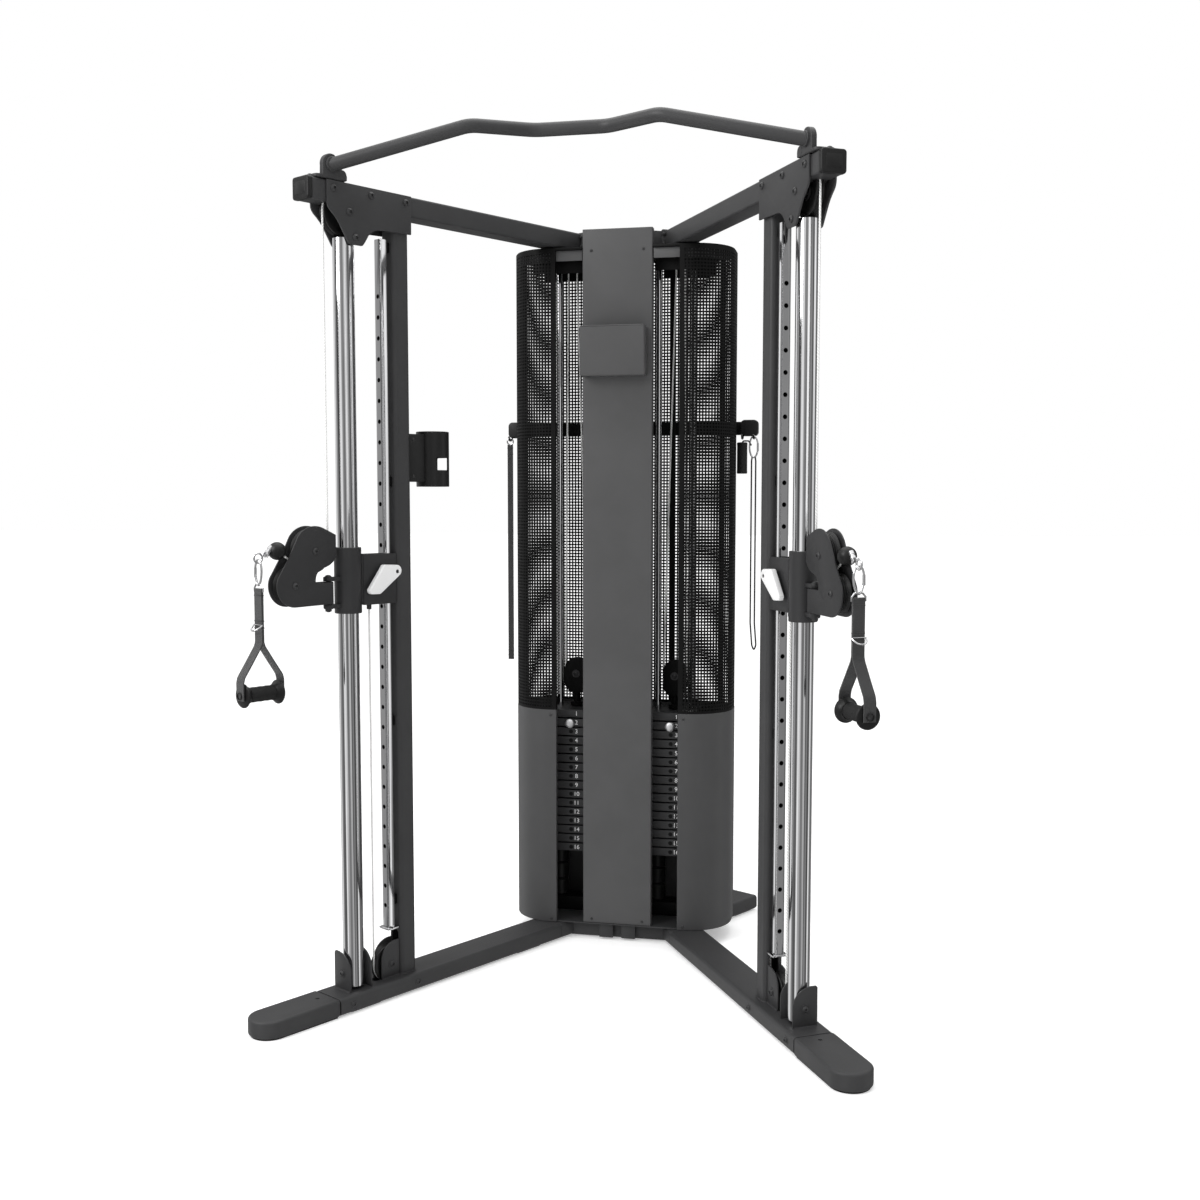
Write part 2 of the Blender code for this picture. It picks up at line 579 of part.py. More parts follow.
def make_lifted_weights(name, side):
    """Top plate and the pinned plate, the stem below them and the moving pulley's fork."""
    stack = cut(plate_stack(LIFTED_Z0, LIFTED), *rod_bores(0.50, 0.80))
    stem = rod((STACK_X, STACK_Y, STACK_Z0 + 0.004), (STACK_X, STACK_Y, LIFTED_Z0 + 0.010), STEM_R, 10)
    neck = rod((STACK_X, STACK_Y, LIFTED_Z1 - 0.006), (STACK_X, STACK_Y, MOVING_Z - 0.040), 0.0110, 10)
    width = 0.0340
    outline = arc((STACK_X, MOVING_Z + 0.012), width, 20, 160, 6) + arc((STACK_X, MOVING_Z - 0.024), width, 200, 340, 6)
    cheeks = [prism(outline, "y", STACK_Y + v, STACK_Y + v + 0.004) for v in (-0.0160, 0.0120)]
    bridge = box((STACK_X - 0.020, STACK_X + 0.020), (STACK_Y - 0.0150, STACK_Y + 0.0150), (MOVING_Z - 0.0560, MOVING_Z - 0.0400))
    axle = rod((STACK_X, STACK_Y - 0.0190, MOVING_Z), (STACK_X, STACK_Y + 0.0190, MOVING_Z), AXLE_R, 10)
    whole = join(stack, stem, neck, bridge, *cheeks, axle)
    pin_bore = rod((STACK_X, STACK_Y - 0.20, PIN_Z), (STACK_X, STACK_Y - 0.0300, PIN_Z), 0.0052, 10)
    whole = cut(whole, pin_bore)
    emit(f"lifted_weights_{name}", whole, tower_frame(side), DARK, (STACK_X, STACK_Y, LIFTED_Z0))


def make_selector_pin(name, side):
    front = STACK_Y - PLATE_HALF_Y
    knob = [(0.0001, 0.0), (0.0070, 0.0), (0.0130, 0.0050), (0.0135, 0.0160), (0.0085, 0.0215), (0.0001, 0.0215)]
    head = turned(knob, (STACK_X, front - 0.0030, PIN_Z), (0, -1, 0), 14)
    shank = rod((STACK_X, front - 0.0100, PIN_Z), (STACK_X, STACK_Y - 0.0320, PIN_Z), 0.0046, 10)
    emit(f"selector_pin_{name}", join(shank, head), tower_frame(side), CHROME, (STACK_X, front, PIN_Z))


def make_accessory_bar():
    """Rack bar across the back of the tower, with a hooked hanger block at each end."""
    y0 = TOWER_REAR + CLEAR
    bar = box((-0.3600, 0.3600), (y0, y0 + 0.0080), (1.4400, 1.4780))
    hangers = []
    for side in SIDES.values():
        low, high = sorted((side * 0.3200, side * 0.3700))
        hangers.append(box((low, high), (y0 - 0.0300, y0 + 0.0040), (1.4360, 1.4820), 0.012, "y"))
        for x in HOOK_X:
            hook = [(side * x, y0 - 0.0200, HOOK_Z + 0.0080), (side * x, HOOK_Y + 0.0080, HOOK_Z)]
            hook += [(side * x, HOOK_Y - 0.0060, HOOK_Z), (side * x, HOOK_Y - 0.0140, HOOK_Z + 0.0100)]
            hangers.append(tube(hook, 0.0028, 8))
    emit("accessory_bar", join(bar, *hangers), tower_frame(), DARK)


def make_bottle_holder():
    """Plastic ring-and-cup holder on the inner side of the left upright."""
    t, z0, z1 = 0.8230, 1.2880, 1.4280
    wall = turned([(0.0370, z0), (0.0420, z0), (0.0420, z1), (0.0370, z1)], (t, 0, 0), (0, 0, 1), 20)
    base = rod((t, 0, z0), (t, 0, z0 + 0.004), 0.0400, 20)
    windows = [
        box((t - 0.060, t + 0.010), (-0.022, 0.022), (1.3300, 1.3620)),
        box((t - 0.020, t + 0.020), (-0.060, 0.060), (1.3300, 1.3620)),
        box((t - 0.060, t), (-0.009, 0.009), (1.3900, 1.4400)),
    ]
    back = UPRIGHT_T - UPRIGHT_HALF - CLEAR
    bracket = box((t + 0.0380, back), (-0.0160, 0.0160), (1.3000, 1.4200))
    emit("bottle_holder", join(cut(wall, *windows), base, bracket), arm_frame(-1), PLASTIC)


# ---- pulleys ----
def pulley(centre, groove, rim, half, axis, steps=ROUND):
    bore = AXLE_R + 0.0008
    profile = [(bore, -half), (rim, -half), (rim, -half + 0.0020), (groove, -0.0016)]
    profile += [(groove, 0.0016), (rim, half - 0.0020), (rim, half), (bore, half)]
    return turned(profile, centre, axis, steps)


def make_arm_pulleys(name, side):
    frame = arm_frame(side)
    places = {
        "top_pulley": (TOP_T, TOP_Z, TOP_GROOVE, TOP_RIM),
        "bottom_pulley": (FOOT_PULLEY_T, FOOT_PULLEY_Z, PULLEY_GROOVE, PULLEY_RIM),
        "swivel_pulley_upper": (UPPER_T, UPPER_Z, UPPER_GROOVE, UPPER_RIM),
        "swivel_pulley_lower": (LOWER_T, LOWER_Z, LOWER_GROOVE, LOWER_RIM),
    }
    for label, (t, z, groove, rim) in places.items():
        wheel = pulley((t, 0, z), groove, rim, PULLEY_HALF, (0, 1, 0))
        if label == "top_pulley":
            wheel = cut(wheel, rod((t, -0.02, z), (t, 0.02, z), 0.0084, 12))
        emit(f"{label}_{name}", wheel, frame, PLASTIC, (t, 0, z))


def make_moving_pulley(name, side):
    wheel = pulley((STACK_X, STACK_Y, MOVING_Z), MOVING_R, 0.0355, 0.0085, (0, 1, 0), 18)
    emit(f"moving_pulley_{name}", wheel, tower_frame(side), PLASTIC, (STACK_X, STACK_Y, MOVING_Z))


# ---- carriage ----
def make_carriage(name, side):
    """Sleeve on the post, a fork round the rail and the two lugs of the swivel's hinge."""
    z = CARRIAGE_Z
    sleeve = rod((POST_T, 0, z - SLEEVE_HALF), (POST_T, 0, z + SLEEVE_HALF), SLEEVE_R, 24)
    web = box((RAIL_T1 + 0.0100, POST_T - 0.020), (-0.0200, 0.0200), (z - 0.0600, z + 0.0600))
    cheeks = [
        box((UPRIGHT_T + UPRIGHT_HALF + 0.0015, POST_T - 0.015), v, (z - 0.0620, z + 0.0620))
        for v in ((-0.0230, -0.0150), (0.0150, 0.0230))
    ]
    lugs = []
    for height in (-LUG_Z, LUG_Z):
        centre = SWIVEL_Z + height
        lugs.append(box((POST_T + 0.028, HINGE_T), (-0.0120, 0.0120), (centre - 0.0050, centre + 0.0050)))
        lugs.append(rod((HINGE_T, 0, centre - 0.0050), (HINGE_T, 0, centre + 0.0050), 0.0120, 12))
    anchor_t = FOOT_PULLEY_T + PULLEY_PATH
    anchor = rod((anchor_t, 0, z - 0.0750), (anchor_t, 0, z - 0.0550), 0.0070, 10)
    bore = rod((POST_T, 0, z - 0.2), (POST_T, 0, z + 0.2), POST_R + 0.0008, 24)
    body = cut(join(sleeve, web, *cheeks, *lugs, anchor), bore)
    pin = rod((HINGE_T, 0, SWIVEL_Z - 0.0360), (HINGE_T, 0, SWIVEL_Z + 0.0360), 0.0040, 10)
    pivot = rod((LEVER_T, -0.0475, LEVER_Z), (LEVER_T, -0.0170, LEVER_Z), AXLE_R, 10)
    emit(f"carriage_{name}", join(body, pin, pivot), arm_frame(side), DARK, (POST_T, 0, z))


def make_lever(name, side):
    """Paddle that draws the locking pin out of the rail."""
    shape = [(0.0380, 0.0180), (0.0060, 0.0165), (-0.0090, 0.0120), (-0.0145, 0.0030), (-0.0110, -0.0095)]
    shape += [(0.0040, -0.0210), (0.0520, -0.0520), (0.0780, -0.0530), (0.0860, -0.0440)]
    outline = [(LEVER_T + t, LEVER_Z + z) for t, z in shape]
    paddle = prism(outline, "y", -0.0450, -0.0310)
    paddle = cut(paddle, rod((LEVER_T, -0.05, LEVER_Z), (LEVER_T, 0, LEVER_Z), AXLE_R + 0.0008, 12))
    emit(f"release_lever_{name}", paddle, arm_frame(side), WHITE, (LEVER_T, -0.0380, LEVER_Z))


def make_swivel(name, side):
    """Two lobed plates on a barrel; they carry two pulleys and turn about the cable's line."""
    back, foot = HINGE_T - 0.0110, HINGE_T - 0.0020
    outline = [(back, UPPER_Z - 0.0150), (back, UPPER_Z + 0.0380)]
    outline += arc((UPPER_T, UPPER_Z), UPPER_LOBE, 112, 35, 6)
    outline += arc((LOWER_T, LOWER_Z), LOWER_LOBE, 25, -90, 8)
    outline += [(foot, SWIVEL_Z - 0.0260), (foot, SWIVEL_Z + 0.0270), (UPPER_T, SWIVEL_Z + 0.0260)]
    outline += [(UPPER_T - 0.0010, UPPER_Z - 0.0610), (UPPER_T - 0.0130, UPPER_Z - 0.0450), (UPPER_T - 0.0400, UPPER_Z - 0.0340)]
    plates = [prism(outline, "y", low, low + 0.0040) for low in (-0.0190, 0.0150)]
    barrel = rod((HINGE_T, 0, SWIVEL_Z - 0.0270), (HINGE_T, 0, SWIVEL_Z + 0.0270), 0.0115, 12)
    web = box((HINGE_T + 0.0030, HINGE_T + 0.0130), (-0.0170, 0.0170), (SWIVEL_Z - 0.0250, SWIVEL_Z + 0.0250))
    bores = rod((HINGE_T, 0, SWIVEL_Z - 0.05), (HINGE_T, 0, SWIVEL_Z + 0.05), 0.0050, 12)
    axles = [
        rod((t, -0.0240, z), (t, 0.0240, z), AXLE_R, 10) for t, z in ((UPPER_T, UPPER_Z), (LOWER_T, LOWER_Z))
    ]
    bracket = join(plates[0], axles[0], axles[1], plates[1], web)
    bracket = join(bracket, barrel)
    emit(f"swivel_bracket_{name}", cut(bracket, bores), arm_frame(side), DARK, (HINGE_T, 0, SWIVEL_Z))


# ---- handle ----
def nip_point():
    """Where the cable leaves the upper swivel pulley."""
    a = -math.pi / 2 + PULL_ANGLE
    return (UPPER_T + UPPER_PATH * math.cos(a), UPPER_Z + UPPER_PATH * math.sin(a))


BALL_AWAY = 0.0796


def ball_point():
    t, z = nip_point()
    return (t + BALL_AWAY * math.cos(PULL_ANGLE), z + BALL_AWAY * math.sin(PULL_ANGLE))


def make_stop_ball(name, side):
    """Rubber stop ball, swivel link and the ring that the handle's clip hooks into."""
    t, z = ball_point()
    meridian = [(0.0001, -BALL_R)] + [
        (BALL_R * math.cos(a), BALL_R * math.sin(a)) for a in (math.radians(d) for d in range(-66, 67, 22))
    ]
    ball = turned(meridian + [(0.0001, BALL_R)], (t, 0, z), (math.cos(PULL_ANGLE), 0, math.sin(PULL_ANGLE)), 16)
    link_end = (EYE_T - 0.0110, 0, EYE_Z + 0.0010)
    link = tube([(t + 0.010, 0, z), (t + 0.026, 0, z - 0.006), link_end], 0.0055, 10)
    ring = tube(oval((EYE_T, 0, EYE_Z + 0.0042), 0.0110, 0.0110, ((1, 0, 0), (0, 0, 1))), 0.0025, 8, (0, 1, 0))
    emit(f"stop_ball_{name}", join(ball, link, ring), arm_frame(side), RUBBER, (t, 0, z))


def make_handle_strap(name, side):
    """Clip, webbing neck, and the two webbing legs to the ends of the grip's core."""
    z_neck, z_split = EYE_Z - 0.0600, 0.9250
    clip = tube(oval((EYE_T, 0, EYE_Z - 0.0290), 0.0130, 0.0290, ((0, 1, 0), (0, 0, 1))), 0.0026, 8, (1, 0, 0))
    neck = box((EYE_T - 0.0016, EYE_T + 0.0016), (-0.0145, 0.0145), (z_split - 0.004, z_neck + 0.003))
    legs = []
    for way in (-1, 1):
        reach = GRIP_HALF - 0.0080
        outline = [
            (EYE_T, z_split + 0.004),
            (EYE_T, z_split - 0.004),
            (EYE_T + way * (reach - 0.0016), GRIP_Z + 0.0340),
            (EYE_T + way * (reach + 0.0016), GRIP_Z + 0.0340),
        ]
        legs.append(prism(outline, "y", -0.0140, 0.0140))
        drop = box(
            tuple(sorted((EYE_T + way * (reach - 0.0016), EYE_T + way * (reach + 0.0016)))),
            (-0.0140, 0.0140),
            (GRIP_Z - 0.0120, GRIP_Z + 0.0342),
        )
        legs.append(drop)
    core = rod((EYE_T - GRIP_HALF + 0.004, 0, GRIP_Z), (EYE_T + GRIP_HALF - 0.004, 0, GRIP_Z), 0.0090, 12)
    strap = join(neck, *legs, core, clip)
    emit(f"handle_strap_{name}", strap, arm_frame(side), WEB, (EYE_T, 0, EYE_Z))


def make_grip(name, side):
    """Rolling rubber sleeve between the strap's legs, with flared ends."""
    half = GRIP_HALF - 0.0125
    profile = [(0.0095, -half), (FLANGE_R, -half), (FLANGE_R, -half + 0.006), (GRIP_R + 0.002, -half + 0.012)]
    profile += [(GRIP_R, 0.0), (GRIP_R + 0.002, half - 0.012), (FLANGE_R, half - 0.006), (FLANGE_R, half), (0.0095, half)]
    grip = turned(profile, (EYE_T, 0, GRIP_Z), (1, 0, 0), 16)
    emit(f"grip_{name}", grip, arm_frame(side), RUBBER, (EYE_T, 0, GRIP_Z))


# ---- cables ----
def wrap(centre, radius, start, end, steps):
    """Arc in the arm's upright plane as (t, 0, z) points."""
    return [(t, 0.0, z) for t, z in arc(centre, radius, start, end, steps)]


def to_arm(x, y, z):
    """A tower point of the right half, seen from the right arm's frame."""
    c, s = math.cos(ARM_ANGLE), math.sin(ARM_ANGLE)
    return (x * c - y * s, x * s + y * c, z)


def cable_route():
    """From the carriage down, under the bottom pulley, up inside the upright, through the beam
    to the stack's moving pulley, back through the beam, over the top pulley and down the
    swivel's axis."""
    t_front, t_back = FOOT_PULLEY_T + PULLEY_PATH, FOOT_PULLEY_T - PULLEY_PATH
    route = [(t_front, 0, CARRIAGE_Z - 0.0755)]
    route += wrap((FOOT_PULLEY_T, FOOT_PULLEY_Z), PULLEY_PATH, 0, -180, 12)
    route += wrap((t_back - 0.030, 1.9330), 0.030, 0, 90, 5)
    route += [(0.3300, 0.006, 1.9630), (0.2900, 0.012, 1.9620), (0.2780, 0.026, 1.9620)]
    t, v, _ = to_arm(PORT_OUTER, STACK_Y, 0)
    route += [(t, v - 0.004, 1.9590), (t, v, 1.9520)]
    route += [to_arm(x, STACK_Y, z) for x, z in arc((STACK_X, MOVING_Z), MOVING_PATH, 0, -180, 12)]
    route += [to_arm(PORT_INNER, STACK_Y, 1.9600), to_arm(PORT_INNER + 0.003, STACK_Y - 0.004, 1.9720)]
    route += [(0.2600, -0.006, 1.9850), (0.3300, -0.003, TOP_Z + TOP_PATH)]
    route += wrap((TOP_T, TOP_Z), TOP_PATH, 90, 0, 7)
    route += [(HINGE_T, 0, UPPER_Z + 0.0010)]
    return route


def make_cable(name, side):
    cable = tube(cable_route(), CABLE_R, 6)
    emit(f"cable_{name}", cable, arm_frame(side), WHITE)


def make_swivel_cable(name, side):
    """Under the upper swivel pulley and out to the stop ball."""
    nip = nip_point()
    end = BALL_AWAY - BALL_R - 0.0006
    route = [(HINGE_T, 0, UPPER_Z + 0.0004)]
    route += wrap((UPPER_T, UPPER_Z), UPPER_PATH, 180, 270 + math.degrees(PULL_ANGLE), 10)
    route += [(nip[0] + end * math.cos(PULL_ANGLE), 0, nip[1] + end * math.sin(PULL_ANGLE))]
    emit(f"swivel_cable_{name}", tube(route, CABLE_R, 6), arm_frame(side), WHITE)


# ---- accessories on the rack ----
def make_hanging_strap():
    """Webbing strap that hangs by its ring from the left end of the rack."""
    x = -HOOK_X[1]
    ring = tube(oval((x, HOOK_Y, HOOK_Z - 0.0035), 0.0090, 0.0090, ((1, 0, 0), (0, 0, 1))), 0.0022, 8, (0, 1, 0))
    strap = box((x - 0.0080, x + 0.0080), (HOOK_Y - 0.0020, HOOK_Y + 0.0020), (0.7760, HOOK_Z - 0.0115))
    emit("hanging_strap", join(strap, ring), tower_frame(), WEB)


def make_hanging_handle():
    """Cord loop with a sleeve and a clip that hangs from the right end of the rack."""
    x, y, top = HOOK_X[1], HOOK_Y, HOOK_Z + 0.0060
    clip = tube(oval((x, y, top - 0.0300), 0.0120, 0.0300, ((1, 0, 0), (0, 0, 1))), 0.0026, 8, (0, 1, 0))
    sleeve_x = HOOK_X[0]
    sleeve = rod((sleeve_x, y, 1.3280), (sleeve_x, y, 1.4170), 0.0150, 14)
    tie = [(sleeve_x, y, 1.4100), (sleeve_x + 0.0020, y, 1.4210), (x - 0.0140, y, 1.4210), (x - 0.0070, y, top - 0.0260)]
    loop = [(x - 0.0040, y, top - 0.0540), (x - 0.0060, y, top - 0.0700), (x - 0.0060, y, 0.9000)]
    loop += [(x - 0.0010, y, 0.8350), (x + 0.0050, y, 0.8200), (x + 0.0110, y, 0.8350)]
    loop += [(x + 0.0060, y, 0.9000), (x + 0.0060, y, top - 0.0700), (x + 0.0040, y, top - 0.0540)]
    emit("hanging_handle", join(clip, sleeve, tube(tie, 0.0026, 8), tube(loop, 0.0026, 8)), tower_frame(), WEB)


PAIRED = (
    make_front_leg,
    make_foot_cap,
    make_upright,
    make_rail,
    make_post,
    make_beam,
    make_gusset,
    make_side_guard,
    make_guide_rods,
    make_resting_weights,
    make_lifted_weights,
    make_selector_pin,
    make_arm_pulleys,
    make_moving_pulley,
    make_carriage,
    make_lever,
    make_swivel,
    make_stop_ball,
    make_handle_strap,
    make_grip,
    make_cable,
    make_swivel_cable,
)
SINGLE = (
    make_base_frame,
    make_pull_up_bar,
    make_rear_guard,
    make_center_panel,
    make_tower_head,
    make_media_holder,
    make_accessory_bar,
    make_bottle_holder,
    make_hanging_strap,
    make_hanging_handle,
)


def main():
    for old in list(bpy.data.objects):
        bpy.data.objects.remove(old)
    for make in SINGLE:
        make()
    for name, side in SIDES.items():
        for make in PAIRED:
            make(name, side)


main()
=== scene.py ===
"""Looks of the cable crossover machine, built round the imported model. Metres, +Z up.

As in the CAD, an arm's pieces are drawn in that arm's frame: t runs out along the arm from
the apex, v runs across it (negative towards the user), z is up.
"""

import math

import bmesh
import bpy
from mathutils import Matrix, Vector


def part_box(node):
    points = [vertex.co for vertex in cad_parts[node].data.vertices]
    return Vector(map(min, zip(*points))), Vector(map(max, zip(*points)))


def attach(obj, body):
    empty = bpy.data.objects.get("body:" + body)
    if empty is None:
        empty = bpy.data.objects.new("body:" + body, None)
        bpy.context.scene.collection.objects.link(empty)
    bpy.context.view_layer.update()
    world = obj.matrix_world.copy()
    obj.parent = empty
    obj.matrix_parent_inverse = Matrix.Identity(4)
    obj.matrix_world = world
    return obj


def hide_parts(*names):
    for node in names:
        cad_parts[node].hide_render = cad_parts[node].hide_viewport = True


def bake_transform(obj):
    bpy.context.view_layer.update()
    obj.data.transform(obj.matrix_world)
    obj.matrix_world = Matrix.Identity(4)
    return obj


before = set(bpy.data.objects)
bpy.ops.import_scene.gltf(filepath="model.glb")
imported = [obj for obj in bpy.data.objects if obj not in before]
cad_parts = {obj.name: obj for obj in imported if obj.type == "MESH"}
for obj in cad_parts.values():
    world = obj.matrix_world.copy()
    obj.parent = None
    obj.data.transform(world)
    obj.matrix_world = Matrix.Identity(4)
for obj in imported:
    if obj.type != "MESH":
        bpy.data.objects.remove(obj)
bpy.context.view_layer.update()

# ---- dimensions shared with the CAD ----
ARM_ANGLE = math.radians(60)
POST_T, POST_R, POST_Z0, POST_Z1 = 1.098, 0.0254, 0.052, 1.877
post_low, post_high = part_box("guide_post_right")
APEX_Y = (post_low[1] + post_high[1]) / 2 + POST_T * math.sin(ARM_ANGLE)
PITCH, HOLES, HOLE_Z0 = 0.0508, 31, 0.228
LEG_HALF, LEG_Z0, LEG_TOP = 0.0505, 0.0035, 0.045
LEG_T0, LEG_SEAM, LEG_TIP = 0.4, 1.175, 1.395
REAR_N, REAR_Q1 = 0.2535, 0.204
BEAM_HALF, BEAM_Z0, BEAM_Z1, BEAM_T0, BEAM_T1 = 0.029, 1.951, 2.001, 0.286, 1.2195
UPRIGHT_T, UPRIGHT_HALF, WALL = 0.94, 0.025, 0.003
RAIL_T0, RAIL_T1, RAIL_HALF, RAIL_Z0, RAIL_Z1 = 0.975, 0.995, 0.0125, 0.169, 1.89
CABLE_R, AXLE_R = 0.0025, 0.005
TOP_T, TOP_Z, TOP_PATH, TOP_RIM = 1.104, 1.934, 0.053, 0.055
HINGE_T = TOP_T + TOP_PATH
FOOT_T, FOOT_Z, FOOT_PATH, FOOT_RIM = 0.99, 0.079, 0.0445, 0.0475
CARRIAGE_Z = 1.06
SWIVEL_Z = CARRIAGE_Z - 0.028
UPPER_PATH, UPPER_RIM, UPPER_LOBE = 0.0495, 0.0525, 0.06
LOWER_PATH, LOWER_RIM, LOWER_LOBE = 0.041, 0.044, 0.051
UPPER_T, UPPER_Z = HINGE_T + UPPER_PATH, CARRIAGE_Z + 0.074
LOWER_T, LOWER_Z = UPPER_T + 0.0575, CARRIAGE_Z - 0.0055
PULL_ANGLE, BALL_R, BALL_AWAY = math.radians(33.7), 0.021, 0.0796
EYE_T, EYE_Z = 1.352, 1.118
GRIP_Z, GRIP_HALF, GRIP_R, FLANGE_R = 0.809, 0.0625, 0.0175, 0.0285
LEVER_T, LEVER_Z = 0.98, CARRIAGE_Z + 0.018
TOWER_HALF, TOWER_FRONT, TOWER_REAR, TOWER_MID = 0.314, -0.357, -0.115, -0.195
FRONT_R, REAR_R = 0.12, 0.078
GUARD_Z0, GUARD_Z1, GUARD_SPLIT = 0.046, 1.944, 0.66
SLOT_INNER, SLOT_OUTER = 0.098, 0.174
PANEL_Y, PANEL_Z0, PANEL_Z1 = -0.349, 0.0492, 1.995
STACK_X, STACK_Y, STACK_Z0 = 0.145, -0.215, 0.238
PLATE_X, PLATE_Y, PLATE_PITCH, PLATE_THICK = 0.0665, 0.08, 0.026, 0.0252
PLATES, LIFTED = 16, 2
ROD_DX, ROD_R, STEM_R = 0.05, 0.0095, 0.01
MOVING_PATH, MOVING_RIM, MOVING_Z = 0.034, 0.0355, 0.748
PORT_INNER, PORT_OUTER = 0.145, 0.168
LIFTED_Z0 = STACK_Z0 + (PLATES - LIFTED) * PLATE_PITCH
LIFTED_Z1 = STACK_Z0 + (PLATES - 1) * PLATE_PITCH + PLATE_THICK
PIN_Z = LIFTED_Z0 + PLATE_THICK / 2
BAR_R = 0.016
FOOT_SCREW_T = 1.208
EAR_T, EAR_Z = 1.153, 2.0345
GUSSET_BOLTS = ((0.932, 1.9825), (1.039, 1.9825), (1.1495, 1.9825), (1.087, 1.8765))
MESH_PITCH, MESH_WEB, MESH_THICK = 0.009, 0.0041, 0.0016
HOOK_X, HOOK_Y, HOOK_Z = (0.327, 0.36), TOWER_REAR - 0.044, 1.428
SIDES = {"left": -1, "right": 1}


# ---- frames ----
def tower(side=1):
    return Matrix.Diagonal((side, 1, 1, 1)) @ Matrix.Translation((0, APEX_Y, 0))


def arm(side):
    return tower(side) @ Matrix.Rotation(-ARM_ANGLE, 4, "Z")


def to_arm(x, y, z):
    """A tower point of the right half, in the right arm's frame."""
    c, s = math.cos(ARM_ANGLE), math.sin(ARM_ANGLE)
    return (x * c - y * s, x * s + y * c, z)


# ---- shapes: each returns a bmesh ----
def soften(bm, size, steps, angle=28):
    if size:
        edges = [e for e in bm.edges if len(e.link_faces) == 2 and e.calc_face_angle(0) > math.radians(angle)]
        bmesh.ops.bevel(
            bm, geom=edges, offset=size, segments=steps, affect="EDGES", profile=0.5, clamp_overlap=True
        )
    return bm


def skin(bm, rings, closed=False, caps=True):
    rows = [[bm.verts.new(point) for point in ring] for ring in rings]
    pairs = list(zip(rows, rows[1:])) + ([(rows[-1], rows[0])] if closed else [])
    for low, high in pairs:
        for i in range(len(low)):
            j = (i + 1) % len(low)
            bm.faces.new((low[i], low[j], high[j], high[i]))
    if caps and not closed:
        bm.faces.new(rows[0][::-1])
        bm.faces.new(rows[-1])
    bmesh.ops.recalc_face_normals(bm, faces=bm.faces)
    return bm


def prism(outline, axis, low, high, size=0.0008, steps=2):
    """A 2-D outline extruded along an axis: "y" takes (t, z) points, "z" takes (t, v), "x" (v, z)."""

    def point(a, b, c):
        return {"x": (c, a, b), "y": (a, c, b), "z": (a, b, c)}[axis]

    bm = bmesh.new()
    skin(bm, [[point(a, b, low) for a, b in outline], [point(a, b, high) for a, b in outline]])
    return soften(bm, size, steps)


def box(t, v, z, size=0.001, steps=2):
    return prism([(t[0], v[0]), (t[1], v[0]), (t[1], v[1]), (t[0], v[1])], "z", z[0], z[1], size, steps)


def arc(centre, radius, start, end, steps):
    turns = [math.radians(start + (end - start) * i / steps) for i in range(steps + 1)]
    return [(centre[0] + radius * math.cos(a), centre[1] + radius * math.sin(a)) for a in turns]


def rounded(low, high, radius, steps=5):
    """Outline of a rectangle between two corners, with round corners."""
    points = []
    for x, y, start in (
        (high[0], high[1], 0), (low[0], high[1], 90), (low[0], low[1], 180), (high[0], low[1], 270)
    ):
        centre = (
            x - math.copysign(radius, x - (low[0] + high[0]) / 2),
            y - math.copysign(radius, y - (low[1] + high[1]) / 2)
        )
        points += arc(centre, radius, start, start + 90, steps)
    return points


def lathe(profile, centre, axis, steps=48):
    """A closed (radius, height) profile turned round an axis; points on the axis close it."""
    turn = Vector((0, 0, 1)).rotation_difference(Vector(axis)).to_matrix()
    bm = bmesh.new()
    rings = []
    for i in range(steps):
        a = math.tau * i / steps
        rings.append([
            Vector(centre) + turn @ Vector((r * math.cos(a), r * math.sin(a), h))
            for r, h in profile
        ])
    skin(bm, rings, closed=True)
    bmesh.ops.remove_doubles(bm, verts=bm.verts, dist=1e-6)
    bmesh.ops.recalc_face_normals(bm, faces=bm.faces)
    return bm


def tube(points, radius, steps=14, loop_normal=None, flat=None):
    """A round tube, or a flat strap if flat = (half width, half thickness), along points, with UVs in metres."""
    points = [Vector(p) for p in points]
    closed = loop_normal is not None
    heads = [(b - a).normalized() for a, b in zip(points, points[1:] + points[:1])]
    if not closed:
        heads[-1] = heads[-2]
    across = Vector(loop_normal) if closed else heads[0].orthogonal().normalized()
    if flat:
        across = Vector(flat[2]).normalized()
    bm = bmesh.new()
    rings, along = [], [0.0]
    for i, point in enumerate(points):
        head = (heads[i - 1 if closed or i else 0] + heads[i]).normalized()
        across = (across - head * across.dot(head)).normalized()
        side = head.cross(across)
        if flat:
            w, h = flat[0], flat[1]
            stretch = 1.0
            if 0 < i < len(points) - 1:
                stretch = 1 / max(0.5, math.cos(heads[i - 1].angle(heads[i]) / 2))
            corner = [
                (w, -h), (w, h), (0.5 * w, h), (0, h), (-0.5 * w, h), (-w, h), (-w, -h), (-0.5 * w, -h),
                (0, -h), (0.5 * w, -h)
            ]
            rings.append([point + across * a + side * b * stretch for a, b in corner])
        else:
            turns = [math.tau * k / steps for k in range(steps)]
            rings.append([point + radius * (math.cos(a) * across + math.sin(a) * side) for a in turns])
        along.append(along[-1] + (points[(i + 1) % len(points)] - point).length)
    skin(bm, rings, closed)
    layer = bm.loops.layers.uv.new("UVMap")
    count = len(rings[0])
    bm.verts.index_update()
    girth = [0.0]
    for k in range(count):
        girth.append(girth[-1] + (Vector(rings[0][(k + 1) % count]) - Vector(rings[0][k])).length)
    for face in bm.faces:
        rows = [loop.vert.index // count for loop in face.loops]
        cols = [loop.vert.index % count for loop in face.loops]
        for loop, row, col in zip(face.loops, rows, cols):
            if row == 0 and max(rows) > 1:
                row = len(rings)
            if col == 0 and max(cols) > 1 and len(face.verts) == 4:
                col = count
            loop[layer].uv = (girth[col], along[row])
    return bm


